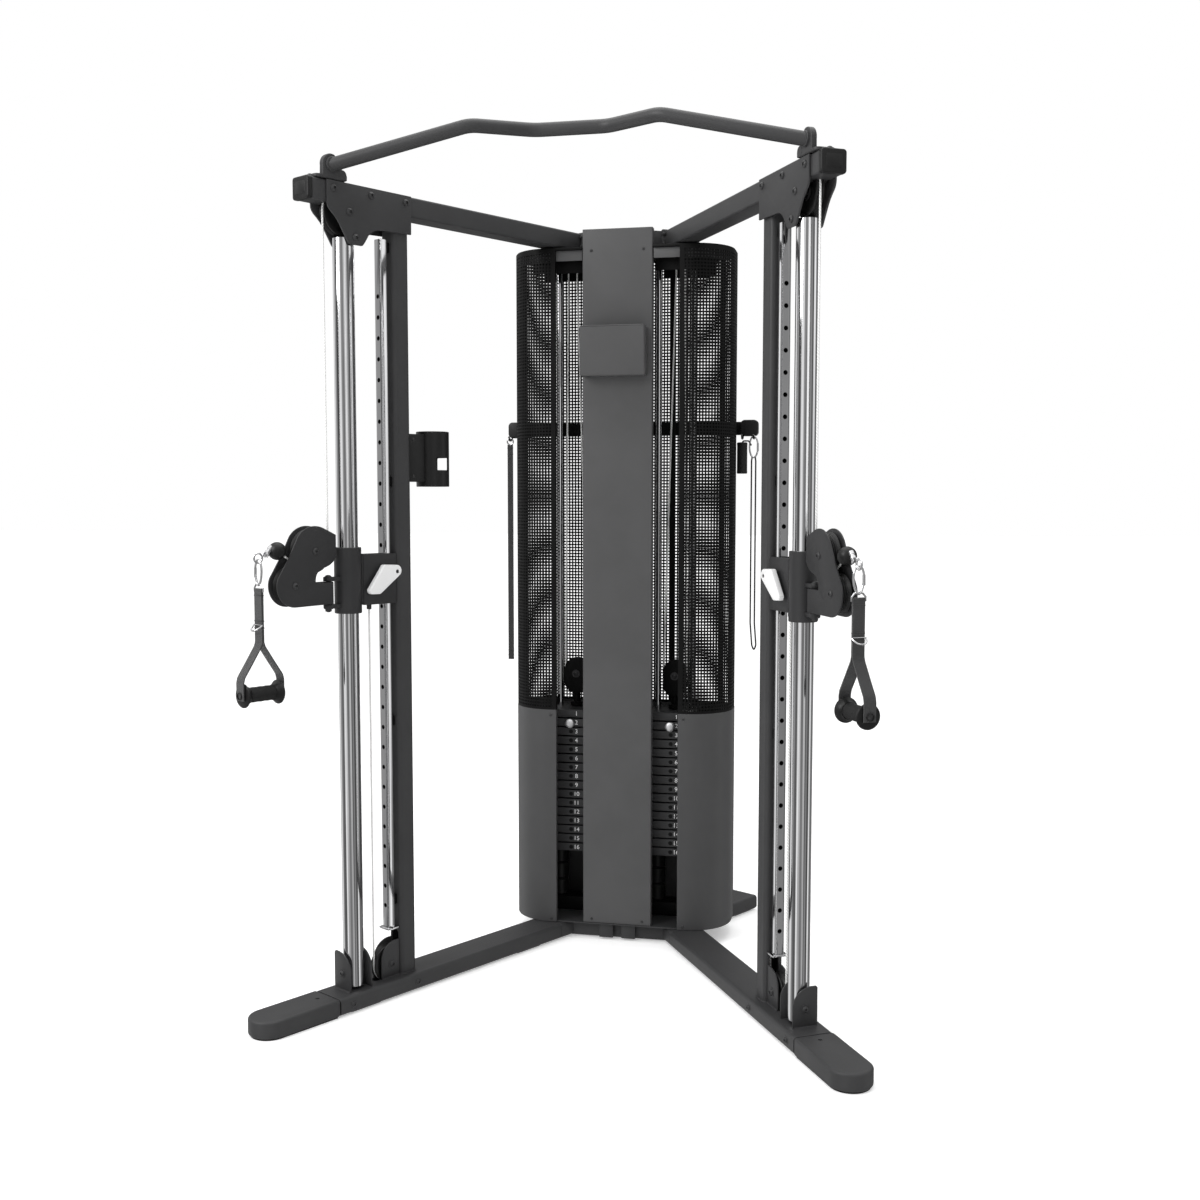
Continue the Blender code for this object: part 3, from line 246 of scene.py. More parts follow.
def rod(start, end, radius, steps=24, size=0.0):
    start, end = Vector(start), Vector(end)
    height = (end - start).length
    profile = [
        (0.0, 0.0), (radius - size, 0.0), (radius, size), (radius, height - size), (radius - size, height),
        (0.0, height)
    ]
    if not size:
        profile = [(0.0, 0.0), (radius, 0.0), (radius, height), (0.0, height)]
    return lathe(profile, start, end - start, steps)


def hollow_rod(start, end, inner, outer, steps=48, size=0.0006):
    start, end = Vector(start), Vector(end)
    h = (end - start).length
    profile = [(inner, 0), (outer - size, 0), (outer, size), (outer, h - size), (outer - size, h), (inner, h)]
    return lathe(profile, start, end - start, steps)


def oval(centre, half_a, half_b, axes, steps=32):
    a_axis, b_axis = Vector(axes[0]), Vector(axes[1])
    turns = [math.tau * i / steps for i in range(steps)]
    return [Vector(centre) + half_a * math.cos(t) * a_axis + half_b * math.sin(t) * b_axis for t in turns]


def bolt(point, axis, radius=0.007, height=0.0042, washer=0.0012):
    """Button-head socket screw on a washer; axis points out of the surface."""
    point, axis = Vector(point), Vector(axis).normalized()
    shapes = []
    if washer:
        w = radius * 1.45
        shapes.append(
            lathe(
                [
                    (0, 0), (w - 0.0004, 0), (w, 0.0003), (w, washer - 0.0004), (w - 0.0004, washer),
                    (0, washer)
                ],
                point, axis, 28
            )
        )
    base = point + axis * washer
    dome = [(0.0, 0.0), (radius, 0.0), (radius, height * 0.25)]
    for a in (math.radians(d) for d in (20, 40, 58)):
        dome.append((radius * math.cos(a), height * (0.25 + 0.75 * math.sin(a))))
    hexagon = radius * 0.42
    dome += [
        (hexagon + 0.0003, height * 0.98), (hexagon, height * 0.9), (hexagon, height * 0.35),
        (0.0, height * 0.3)
    ]
    shapes.append(lathe(dome, base, axis, 30))
    return shapes


def hex_nut(point, axis, radius=0.0085, height=0.006, washer=0.0014):
    point, axis = Vector(point), Vector(axis).normalized()
    turn = Vector((0, 0, 1)).rotation_difference(axis).to_matrix()
    bm = bmesh.new()
    rings = []
    for h in (washer, washer + height):
        corners = [
            (radius * math.cos(a), radius * math.sin(a), h)
            for a in (math.tau * k / 6 for k in range(6))
        ]
        rings.append([point + turn @ Vector(corner) for corner in corners])
    skin(bm, rings)
    soften(bm, 0.0006, 1, 40)
    w = radius * 1.35
    disc = lathe([(0, 0), (w, 0), (w, washer), (0, washer)], point, axis, 28)
    stud = rod(
        point + axis * (washer + height), point + axis * (washer + height + 0.0016), radius * 0.5, 16,
        0.0004
    )
    return [bm, disc, stud]


def weld(points, radius=0.0022, closed=False):
    """A weld bead: a low tube with even ripples along its run."""
    points = [Vector(p) for p in points]
    fine = []
    runs = list(zip(points, points[1:] + ([points[0]] if closed else [])))
    for a, b in runs:
        count = max(2, int((b - a).length / 0.0016))
        fine += [a.lerp(b, i / count) for i in range(count)]
    if not closed:
        fine.append(points[-1])
    first = points[1] - points[0]
    normal = first.cross(points[2] - points[1]) if closed else first.orthogonal()
    bm = tube(fine, radius, 8, normal.normalized() if closed else None)
    bm.verts.ensure_lookup_table()
    for i, vert in enumerate(bm.verts):
        ring = i // 8
        centre = fine[ring]
        vert.co = centre + (vert.co - centre) * (1.0 + 0.14 * math.cos(math.pi * (ring % 4) / 2))
    return bm


def carve(bm, *cutters):
    """Cuts bmeshes out of a bmesh with exact Booleans."""
    objects = []
    for shape in (bm, *cutters):
        mesh = bpy.data.meshes.new("carve")
        shape.to_mesh(mesh)
        shape.free()
        thing = bpy.data.objects.new("carve", mesh)
        bpy.context.scene.collection.objects.link(thing)
        objects.append(thing)
    first, others = objects[0], objects[1:]
    for other in others:
        step = first.modifiers.new("step", "BOOLEAN")
        step.operation, step.object, step.solver = "DIFFERENCE", other, "EXACT"
    bpy.context.view_layer.update()
    mesh = bpy.data.meshes.new_from_object(first.evaluated_get(bpy.context.evaluated_depsgraph_get()))
    result = bmesh.new()
    result.from_mesh(mesh)
    bpy.data.meshes.remove(mesh)
    for thing in objects:
        bpy.data.objects.remove(thing)
    return result


def fillet(points, radius, steps=8):
    """Rounds the corners of a polyline."""
    points = [Vector(p) for p in points]
    out = [points[0]]
    for before, here, after in zip(points, points[1:], points[2:]):
        a, b = (before - here).normalized(), (after - here).normalized()
        half = a.angle(b) / 2
        reach = min(radius / math.tan(half), 0.45 * (before - here).length, 0.45 * (after - here).length)
        start, end = here + a * reach, here + b * reach
        for i in range(steps + 1):
            f = i / steps
            out.append(start.lerp(here, f).lerp(here.lerp(end, f), f))
    return out + [points[-1]]


# ---- materials ----
def node(tree, kind, inputs, **settings):
    """Adds a shader node; an input takes either a value or the socket that feeds it."""
    made = tree.nodes.new("ShaderNode" + kind)
    for key, value in settings.items():
        setattr(made, key, value)
    for key, value in inputs.items():
        if isinstance(value, bpy.types.NodeSocket):
            tree.links.new(value, made.inputs[key])
        else:
            made.inputs[key].default_value = value
    return made


def base_material(name, colour, roughness, metallic=0.0, **sockets):
    material = bpy.data.materials.new(name)
    material.use_nodes = True
    tree = material.node_tree
    shader = tree.nodes["Principled BSDF"]
    shader.inputs["Base Color"].default_value = (*colour, 1)
    shader.inputs["Roughness"].default_value = roughness
    shader.inputs["Metallic"].default_value = metallic
    for key, value in sockets.items():
        shader.inputs[key.replace("_", " ")].default_value = value
    return material, tree, shader


def coordinates(tree, scale=(1, 1, 1), uv=False):
    source = node(tree, "TexCoord", {}).outputs["UV" if uv else "Object"]
    return node(tree, "Mapping", {"Vector": source, "Scale": scale}).outputs["Vector"]


def noise(tree, vector, scale, detail=3.0, rough=0.5):
    made = node(tree, "TexNoise", {"Vector": vector, "Scale": scale, "Detail": detail, "Roughness": rough})
    return made.outputs["Fac"]


def remap(tree, value, low, high, from_low=0.3, from_high=0.7):
    ends = {"From Min": from_low, "From Max": from_high, "To Min": low, "To Max": high}
    return node(tree, "MapRange", {"Value": value, **ends}).outputs["Result"]


def math_node(tree, operation, a, b):
    return node(tree, "Math", {0: a, 1: b}, operation=operation).outputs["Value"]


def mix_colours(tree, share, a, b, blend_type="MIX"):
    inputs = {"Factor": share, "A": a, "B": b}
    return node(tree, "Mix", inputs, data_type="RGBA", blend_type=blend_type).outputs["Result"]


def tint(tree, value, low, high):
    ramp = node(tree, "ValToRGB", {"Fac": value})
    for element, colour, position in zip(ramp.color_ramp.elements, (low, high), (0.35, 0.65)):
        element.color, element.position = (*colour, 1), position
    return ramp.outputs["Color"]


def bump(tree, shader, height, strength, distance):
    made = node(tree, "Bump", {"Height": height, "Strength": strength, "Distance": distance})
    tree.links.new(made.outputs["Normal"], shader.inputs["Normal"])


def grained(
    name, colour, roughness, spread=0.1, grain=900, depth=0.00025, strength=0.35, vary=0.12, metallic=0.0,
    shine=0.32, **sockets
):
    """Painted, cast or moulded surface: fine grain in the bump, slow variation in colour and gloss."""
    material, tree, shader = base_material(name, colour, roughness, metallic, **sockets)
    shader.inputs["Specular IOR Level"].default_value = shine
    place = coordinates(tree)
    slow = noise(tree, place, 7.0, 4.0, 0.6)
    dark = tuple(c * (1 - vary) for c in colour)
    light = tuple(min(1, c * (1 + vary)) for c in colour)
    tree.links.new(tint(tree, slow, dark, light), shader.inputs["Base Color"])
    fine = noise(tree, place, grain, 2.0, 0.6)
    tree.links.new(remap(tree, fine, roughness - spread, roughness + spread), shader.inputs["Roughness"])
    bump(tree, shader, fine, strength, depth)
    return material


def chromed(name, colour=(0.82, 0.82, 0.83), roughness=0.06, streak=(40, 40, 1.5)):
    """Plated surface with faint polishing lines along it."""
    material, tree, shader = base_material(name, colour, roughness, 1.0)
    place = coordinates(tree, streak)
    lines = noise(tree, place, 12.0, 4.0, 0.6)
    tree.links.new(remap(tree, lines, roughness * 0.6, roughness * 1.8), shader.inputs["Roughness"])
    cloudy = noise(tree, coordinates(tree), 9.0, 3.0)
    low = tuple(c * 0.94 for c in colour)
    tree.links.new(tint(tree, cloudy, low, colour), shader.inputs["Base Color"])
    bump(tree, shader, lines, 0.01, 0.0001)
    return material


WEAVE_SCALE = 0.314  # a wave texture shows about 3.2 bands a unit


def woven(name, colour, pitch=0.0016):
    """Nylon webbing: ribs along it and a finer weft across, from UVs in metres."""
    material, tree, shader = base_material(name, colour, 0.78, 0.0, Sheen_Weight=0.35, Sheen_Roughness=0.4)
    place = coordinates(tree, uv=True)
    relief = {
        "Vector": place, "Scale": WEAVE_SCALE / pitch, "Distortion": 0.6, "Detail": 1.0, "Detail Scale": 3.0
    }
    ribs, weft = (node(tree, "TexWave", relief, bands_direction=way).outputs["Fac"] for way in ("X", "Y"))
    blend = math_node(tree, "MULTIPLY", ribs, weft)
    dark, light = (tuple(c * share for c in colour) for share in (0.55, 1.35))
    tree.links.new(tint(tree, blend, dark, light), shader.inputs["Base Color"])
    bump(tree, shader, blend, 0.7, 0.0006)
    return material


def coated_cable(name):
    """Pale nylon jacket over steel strands; the lay shows as a faint slanting relief."""
    material, tree, shader = base_material(
        name, (0.8, 0.8, 0.79), 0.28, 0.0, Coat_Weight=0.4, Coat_Roughness=0.12
    )
    place = coordinates(tree, (1, 1, 1), uv=True)
    lay = node(tree, "TexWave", {"Vector": place, "Scale": 90.0}, bands_direction="DIAGONAL").outputs["Fac"]
    tree.links.new(tint(tree, lay, (0.62, 0.62, 0.61), (0.86, 0.86, 0.85)), shader.inputs["Base Color"])
    bump(tree, shader, lay, 0.3, 0.0003)
    return material


PAINT = grained("charcoal_powder_coat", (0.037, 0.037, 0.038), 0.46, 0.08, 1100, 0.00022, 0.4, 0.06)
PANEL = grained("charcoal_panel_coat", (0.072, 0.072, 0.073), 0.48, 0.07, 1300, 0.00018, 0.35, 0.05)
# painted light: the guards' lower parts wear the frame's charcoal paint; this copy is lighter than PAINT to
# paint in the light falling on them
FRAME_PAINT_LIGHTENED = grained("frame_coat_painted_lighter_for_guards", (0.058, 0.058, 0.059), 0.48, 0.07, 1300, 0.00018, 0.35, 0.05)
BLACK_BODY = grained("dark_charcoal_coat", (0.026, 0.026, 0.027), 0.46, 0.08, 1100, 0.00022, 0.4, 0.06)
BLACK = grained("black_powder_coat", (0.004, 0.004, 0.004), 0.55, 0.08, 1100, 0.00022, 0.35, 0.1, shine=0.14)
IRON = grained("coated_plate", (0.034, 0.034, 0.035), 0.42, 0.1, 700, 0.0003, 0.45, 0.15)
PLASTIC = grained("black_moulded_plastic", (0.01, 0.01, 0.01), 0.42, 0.08, 1500, 0.00012, 0.3, 0.1)
CAP = grained("charcoal_moulded_plastic", (0.038, 0.038, 0.039), 0.52, 0.08, 1500, 0.00014, 0.35, 0.08)
RUBBER = grained("black_rubber", (0.007, 0.007, 0.007), 0.42, 0.1, 800, 0.0003, 0.4, 0.12)
FOAM = grained("grip_foam", (0.01, 0.01, 0.01), 0.66, 0.08, 1600, 0.0005, 0.6, 0.15)
WHITE = grained("pale_moulded_plastic", (0.74, 0.74, 0.74), 0.34, 0.06, 1400, 0.0001, 0.25, 0.04)
BOLTS = grained("coated_fasteners", (0.036, 0.036, 0.037), 0.34, 0.08, 1500, 0.0001, 0.25, 0.1)
CHROME = chromed("chrome_plate", (0.74, 0.74, 0.75))
ZINC = chromed("zinc_plate", (0.5, 0.5, 0.51), 0.2, (300, 300, 300))
SATIN = chromed("satin_knob", (0.86, 0.86, 0.87), 0.4, (60, 60, 60))
WEBBING = woven("nylon_webbing", (0.042, 0.042, 0.043))
CABLE = coated_cable("nylon_coated_cable")
INK = grained("plate_number_ink", (0.82, 0.82, 0.82), 0.5, 0.05, 900, 0.00008, 0.2, 0.04)


# ---- placing ----
def piece(name, shapes, place, material, body="frame", stands_for=(), blend=None, angle=32):
    """Joins shapes into one named object, puts it in the row frame and hangs it on its body."""
    whole = bmesh.new()
    for shape in shapes:
        mesh = bpy.data.meshes.new("part")
        shape.to_mesh(mesh)
        shape.free()
        whole.from_mesh(mesh)
        bpy.data.meshes.remove(mesh)
    mesh = bpy.data.meshes.new(name)
    whole.to_mesh(mesh)
    whole.free()
    mesh.transform(place)
    if place.determinant() < 0:
        mesh.flip_normals()
    mesh.materials.append(material)
    mesh.shade_smooth()
    mesh.set_sharp_from_angle(angle=math.radians(angle))
    made = bpy.data.objects.new(name, mesh)
    bpy.context.scene.collection.objects.link(made)
    if blend:
        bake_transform(made)
    else:
        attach(made, body)
    if stands_for:
        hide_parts(*stands_for)
    return made


# ---- base ----
def leg_section(low, high):
    return prism(rounded((-LEG_HALF, LEG_Z0), (LEG_HALF, LEG_TOP), 0.0095, 6), "x", low, high, 0.0008, 1)


def base():
    for name, side in SIDES.items():
        turn = tower(side) @ Matrix.Rotation(ARM_ANGLE, 4, "Z") @ Matrix.Translation((0, -REAR_N, 0))
        rear = leg_section(-0.1, REAR_Q1 - 0.0035)
        pad = prism(rounded((0.1, -0.04), (REAR_Q1 - 0.012, 0.04), 0.01, 4), "z", 0.0, 0.006, 0.001)
        plug = prism(
            rounded((-LEG_HALF + 0.0006, 0.004), (LEG_HALF - 0.0006, LEG_TOP - 0.0006), 0.009, 6), "x",
            REAR_Q1 - 0.0045, REAR_Q1, 0.0016, 3
        )
        stub = leg_section(0.245, LEG_T0 - 0.0008)
        piece(f"rear_leg_{name}", [rear], turn, PAINT)
        piece(f"rear_leg_pad_{name}", [pad, plug], turn, CAP)
        piece(f"front_leg_stub_{name}", [stub], arm(side), PAINT)
    cross = [
        prism(rounded((-0.148, -0.328), (0.148, -0.207), 0.004, 2), "z", 0.004, 0.0445, 0.001),
        box((-0.052, -0.012), (-0.344, -0.31), (0.006, 0.044), 0.0015),
        box((0.012, 0.052), (-0.344, -0.31), (0.006, 0.044), 0.0015),
    ]
    floor = prism(tower_outline(0.004), "z", 0.0458, 0.0488, 0.0006, 1)
    piece("base_hub", cross, tower(), PAINT, stands_for=("base_frame",))
    piece("tower_floor", [floor], tower(), PAINT)


def front_leg(name, side):
    place = arm(side)
    leg = leg_section(LEG_T0, LEG_SEAM)
    slot = prism(rounded((FOOT_T - 0.051, -0.0116), (FOOT_T + 0.051, 0.0116), 0.004, 3), "z", 0.029, 0.07, 0)
    leg = carve(leg, slot)
    steel, welds, bolts = [leg], [], []
    z0 = LEG_TOP - 0.003
    for t, way in ((POST_T - 0.034, -1), (POST_T + 0.03, 1)):
        cheek = [(-0.031, z0), (0.032, z0), (0.032, 0.136), (0.028, 0.14), (0.016, 0.14)]
        cheek += arc((0.016, 0.092), 0.047, 97, 180, 14)[1:]
        steel.append(prism(cheek, "x", t, t + 0.004, 0.001, 2))
        edge = t if way < 0 else t + 0.004
        welds.append(weld([(edge, -0.03, LEG_TOP), (edge, 0.031, LEG_TOP)]))
    steel.append(box((POST_T - 0.0335, POST_T + 0.0335), (0.028, 0.032), (z0, 0.12), 0.001))
    for way in (1, -1):
        bolts += bolt((POST_T + 0.034 * way, 0, 0.088), (way, 0, 0), 0.0075, 0.0044)
    inner = UPRIGHT_T + UPRIGHT_HALF + 0.0006
    for v in (-0.017, 0.013):
        cheek = [(inner, z0), (1.023, z0)] + arc((0.975, 0.09), 0.048, 0, 90, 14) + [(inner, 0.138)]
        steel.append(prism(cheek, "y", v, v + 0.004, 0.001, 2))
    welds.append(weld([(inner, -0.017, LEG_TOP), (1.023, -0.017, LEG_TOP)]))
    welds.append(weld([(inner, 0.017, LEG_TOP), (1.023, 0.017, LEG_TOP)]))
    corner = UPRIGHT_HALF + 0.0008
    ring = rounded((UPRIGHT_T - corner, -corner), (UPRIGHT_T + corner, corner), 0.0115, 4)
    welds.append(weld([(a, b, LEG_TOP + 0.0006) for a, b in ring], 0.0024, True))
    for way in (-1, 1):
        bolts += bolt((FOOT_T, 0.017 * way, FOOT_Z), (0, way, 0), 0.0085, 0.0046)
    steel.append(rod((FOOT_T, -0.017, FOOT_Z), (FOOT_T, 0.017, FOOT_Z), AXLE_R, 20))
    for t in (0.932, 1.137):
        bolts += bolt((t, -LEG_HALF, 0.0235), (0, -1, 0), 0.007, 0.0036, 0.0008)
    pads = [
        prism(
            rounded((t - 0.05, -0.04), (t + 0.05, 0.04), 0.01, 4), "z", 0.0, 0.006, 0.001
        ) for t in (0.52, 1.09)
    ]
    piece(f"leg_{name}", steel + welds, place, PAINT, stands_for=(f"front_leg_{name}",))
    piece(f"leg_bolts_{name}", bolts, place, BOLTS)
    piece(f"leg_pads_{name}", pads, place, RUBBER)


def foot(name, side):
    centre = LEG_TIP - LEG_HALF - 0.0005
    start, half = LEG_SEAM + 0.001, LEG_HALF + 0.0005
    outline = [(start, -half)] + arc((centre, 0), half, -90, 90, 28) + [(start, half)]
    sole = [(start + 0.006, -half + 0.005)] + arc(
        (centre, 0), half - 0.005, -90, 90, 24
    ) + [(start + 0.006, half - 0.005)]
    cap = prism(outline, "z", 0.0035, LEG_TOP + 0.0005, 0.0065, 5)
    recess = rod((FOOT_SCREW_T, 0, LEG_TOP - 0.0025), (FOOT_SCREW_T, 0, LEG_TOP + 0.01), 0.0052, 24)
    cap = carve(cap, recess)
    piece(f"foot_{name}", [cap], arm(side), CAP, stands_for=(f"foot_cap_{name}",))
    piece(f"foot_sole_{name}", [prism(sole, "z", 0.0, 0.006, 0.001)], arm(side), RUBBER)
    piece(
        f"foot_screw_{name}", bolt((FOOT_SCREW_T, 0, LEG_TOP - 0.0026), (0, 0, 1), 0.0042, 0.0022, 0),
        arm(side), BOLTS
    )


# ---- arm structure ----
def upright(name, side):
    place = arm(side)
    low, high = UPRIGHT_T - UPRIGHT_HALF, UPRIGHT_T + UPRIGHT_HALF
    z0, z1 = LEG_TOP + 0.0004, BEAM_Z0 - 0.0004
    outer = prism(rounded((low, -UPRIGHT_HALF), (high, UPRIGHT_HALF), 0.0115, 7), "z", z0, z1, 0.0)
    inner = prism(
        rounded((low + WALL, -UPRIGHT_HALF + WALL), (high - WALL, UPRIGHT_HALF - WALL), 0.0085, 7), "z",
        0.0, 2.1, 0.0
    )
    slot_shape = [(-0.0125, 0.0), (0.0125, 0.0)] + arc((0, 0.1495), 0.0125, 0, 180, 12)
    slot = prism(slot_shape, "x", high - 0.012, high + 0.012, 0.0)
    piece(f"upright_tube_{name}", [carve(outer, inner, slot)], place, PAINT, stands_for=(f"upright_{name}",))
    bolts = []
    for z in (0.62, 1.3):
        bolts += bolt((low, 0.0, z), (-1, 0, 0), 0.005, 0.0026, 0)
    piece(f"upright_screws_{name}", bolts, place, BOLTS)


def rail(name, side):
    place = arm(side)
    bar = prism(
        rounded((RAIL_T0, -RAIL_HALF), (RAIL_T1, RAIL_HALF), 0.002, 3), "z", RAIL_Z0 + 0.0022, RAIL_Z1,
        0.0008, 1
    )
    holes = [
        rod((RAIL_T1 - 0.015, 0, HOLE_Z0 + PITCH * i), (RAIL_T1 + 0.01, 0, HOLE_Z0 + PITCH * i), 0.0056, 24)
        for i in range(HOLES)
    ]
    bar = carve(bar, *holes)
    flange = prism(
        rounded((UPRIGHT_T + UPRIGHT_HALF + 0.0006, -0.02), (RAIL_T1 + 0.007, 0.02), 0.004, 4), "z",
        RAIL_Z0 - 0.002, RAIL_Z0 + 0.002, 0.0006
    )
    piece(f"rail_{name}", [bar, flange], place, CHROME, stands_for=(f"adjust_rail_{name}",))
    # painted shade: black sleeves and a black floor in each rail hole stand for the shade inside the holes
    liners = []
    for i in range(HOLES):
        hole = (RAIL_T1 - 0.0148, 0, HOLE_Z0 + PITCH * i)
        liners.append(hollow_rod(hole, (RAIL_T1 - 0.0012, 0, hole[2]), 0.0046, 0.0055, 20, 0.0002))
        liners.append(rod(hole, (RAIL_T1 - 0.0135, 0, hole[2]), 0.005, 16))
    piece(f"rail_hole_painted_shade_{name}", liners, place, BLACK)
    dark = [
        box((UPRIGHT_T + UPRIGHT_HALF + 0.0004, RAIL_T0 + 0.004), (-0.01, 0.01), (z - 0.012, z + 0.012))
        for z in (0.24, 0.7, 1.3, 1.872)
    ]
    for v in (-0.016, 0.016):
        dark += bolt((RAIL_T0 + 0.012, v, RAIL_Z0 + 0.002), (0, 0, 1), 0.003, 0.0018, 0)
    piece(f"rail_studs_{name}", dark, place, BLACK)


def post(name, side):
    pipe = hollow_rod((POST_T, 0, POST_Z0), (POST_T, 0, POST_Z1), POST_R - WALL, POST_R, 72, 0.001)
    piece(f"post_{name}", [pipe], arm(side), CHROME, stands_for=(f"guide_post_{name}",))
    plug = rod((POST_T, 0, POST_Z1 - 0.02), (POST_T, 0, POST_Z1 + 0.0006), POST_R - WALL - 0.0001, 48)
    piece(f"post_plug_{name}", [plug], arm(side), PLASTIC)


def beam(name, side):
    place = arm(side)
    tube_part = prism(
        rounded((-BEAM_HALF, BEAM_Z0), (BEAM_HALF, BEAM_Z1), 0.006, 6), "x", BEAM_T0 + 0.003,
        BEAM_T1 - 0.012, 0.0
    )
    flange = prism(
        rounded((-0.04, BEAM_Z0), (0.04, BEAM_Z1 + 0.0015), 0.004, 4), "x", BEAM_T0, BEAM_T0 + 0.006, 0.0008
    )
    piece(f"beam_{name}", [tube_part, flange], place, PAINT, stands_for=(f"top_beam_{name}",))
    plug = prism(
        rounded((-BEAM_HALF - 0.0015, BEAM_Z0 - 0.001), (BEAM_HALF + 0.0015, BEAM_Z1 + 0.0015), 0.0075, 6),
        "x", BEAM_T1 - 0.0145, BEAM_T1, 0.003, 4
    )
    rib = prism(
        rounded((-0.02, BEAM_Z0 + 0.01), (0.02, BEAM_Z1 - 0.01), 0.006, 5), "x", BEAM_T1 - 0.004,
        BEAM_T1 + 0.0004, 0.0004
    )
    piece(f"beam_plug_{name}", [plug, rib], place, PLASTIC)
    bolts = []
    for v in (-0.0345, 0.0345):
        for z in (1.964, 1.99):
            bolts += hex_nut((BEAM_T0 + 0.006, v, z), (1, 0, 0), 0.0052, 0.004, 0.001)
    piece(f"beam_bolts_{name}", bolts, place, BOLTS)


def gusset(name, side):
    place = arm(side)
    outline = [(0.914, 2.0), (0.915, 1.907), (1.014, 1.904), (1.023, 1.9025), (1.0315, 1.899), (1.04, 1.8935)]
    outline += [(1.0475, 1.886), (1.059, 1.868)] + arc((1.069, 1.866), 0.0065, 205, 265, 4)
    outline += arc((1.1005, 1.868), 0.009, 272, 330, 5) + [(1.133, 1.903), (1.14, 1.9125), (1.149, 1.9215)]
    outline += [(1.16, 1.931), (1.1645, 1.937), (1.1672, 1.944), (1.168, 1.953), (1.168, 2.0)]
    gap = BEAM_HALF + 0.0004
    plates = [prism(outline, "y", low, low + 0.005, 0.001, 2) for low in (gap, -gap - 0.005)]
    piece(f"gusset_plates_{name}", plates, place, PAINT, stands_for=(f"gusset_{name}",))
    bolts = []
    for t, z in GUSSET_BOLTS:
        for way in (-1, 1):
            bolts += bolt((t, way * (gap + 0.005), z), (0, way, 0), 0.0086, 0.005, 0)
    for way in (-1, 1):
        bolts += bolt((TOP_T, way * (gap + 0.005), TOP_Z), (0, way, 0), 0.009, 0.005, 0)
        inner = way * 0.0102
        bolts.append(hollow_rod((TOP_T, inner, TOP_Z), (TOP_T, way * gap, TOP_Z), 0.008, 0.011, 28))
    bolts.append(rod((TOP_T, -gap, TOP_Z), (TOP_T, gap, TOP_Z), 0.0074, 20))
    piece(f"gusset_bolts_{name}", bolts, place, BOLTS)


def pull_up_bar():
    corners = [(0.5502, -1.0131, 2.0341), (0.2208, -0.9866, 2.1136), (0.0872, -0.9062, 2.116)]
    route = [(-x, y, z) for x, y, z in corners] + corners[::-1]
    route = fillet(route, 0.075, 12)
    bar = tube(route, BAR_R, 28)
    piece("pull_up_bar_tube", [bar], tower(), PAINT, stands_for=("pull_up_bar",))
    for name, side in SIDES.items():
        outline = arc((1.119, 2.012), 0.0105, 90, 190, 8) + [(1.109, 2.0034), (1.179, 2.0034)]
        outline += arc((EAR_T, EAR_Z), 0.0255, -10, 112, 18)
        ear = prism(outline[::-1], "y", -0.034, -0.02, 0.004, 4)
        foot_plate = prism(
            rounded((1.109, -0.033), (1.196, 0.02), 0.012, 6), "z", BEAM_Z1 + 0.0012, BEAM_Z1 + 0.009,
            0.002, 3
        )
        knuckle = rod((1.1225, -0.0345, 2.0152), (1.1225, 0.015, 2.0152), 0.0122, 32, 0.0012)
        boss = rod((EAR_T, -0.0395, EAR_Z), (EAR_T, -0.02, EAR_Z), 0.0175, 36, 0.001)
        piece(f"bar_ear_{name}", [ear, foot_plate, knuckle, boss], arm(side), PAINT)
        bolts = bolt((EAR_T, -0.0395, EAR_Z), (0, -1, 0), 0.007, 0.0036, 0.001)
        for t in (1.145, 1.186):
            bolts += bolt((t, 0.006, BEAM_Z1 + 0.009), (0, 0, 1), 0.0062, 0.0036, 0.001)
        piece(f"bar_ear_bolts_{name}", bolts, arm(side), BOLTS)


# ---- tower ----
def tower_outline(inset, steps=20):
    half, front, rear = TOWER_HALF - inset, TOWER_FRONT + inset, TOWER_REAR - inset
    front_r, rear_r = FRONT_R - inset, REAR_R - inset
    right = arc((half - front_r, front + front_r), front_r, -90, 0, steps)
    right += arc((half - rear_r, rear - rear_r), rear_r, 0, 90, steps)
    return right + [(-x, y) for x, y in right[::-1]]


def guard_run(inset, steps=20):
    half, front, radius = TOWER_HALF - inset, TOWER_FRONT + inset, FRONT_R - inset
    return [(SLOT_OUTER, front)] + arc(
        (half - radius, front + radius), radius, -90, 0, steps
    ) + [(half, TOWER_MID - 0.002)]


def rear_run(inset, steps=16):
    half, rear, radius = TOWER_HALF - inset, TOWER_REAR - inset, REAR_R - inset
    right = [(half, TOWER_MID + 0.0006)] + arc((half - radius, rear - radius), radius, 0, 90, steps)
    return right + [(-x, y) for x, y in right[::-1]]


def run_lengths(run):
    lengths = [0.0]
    for a, b in zip(run, run[1:]):
        lengths.append(lengths[-1] + math.dist(a, b))
    return lengths


def on_run(run, lengths, s):
    """Point and outward normal at distance s along a run."""
    for i in range(len(run) - 1):
        if s <= lengths[i + 1] or i == len(run) - 2:
            f = (s - lengths[i]) / (lengths[i + 1] - lengths[i])
            a, b = run[i], run[i + 1]
            dx, dy = b[0] - a[0], b[1] - a[1]
            size = math.hypot(dx, dy)
            return (a[0] + dx * f, a[1] + dy * f), (dy / size, -dx / size)
    return run[-1], (0, 1)


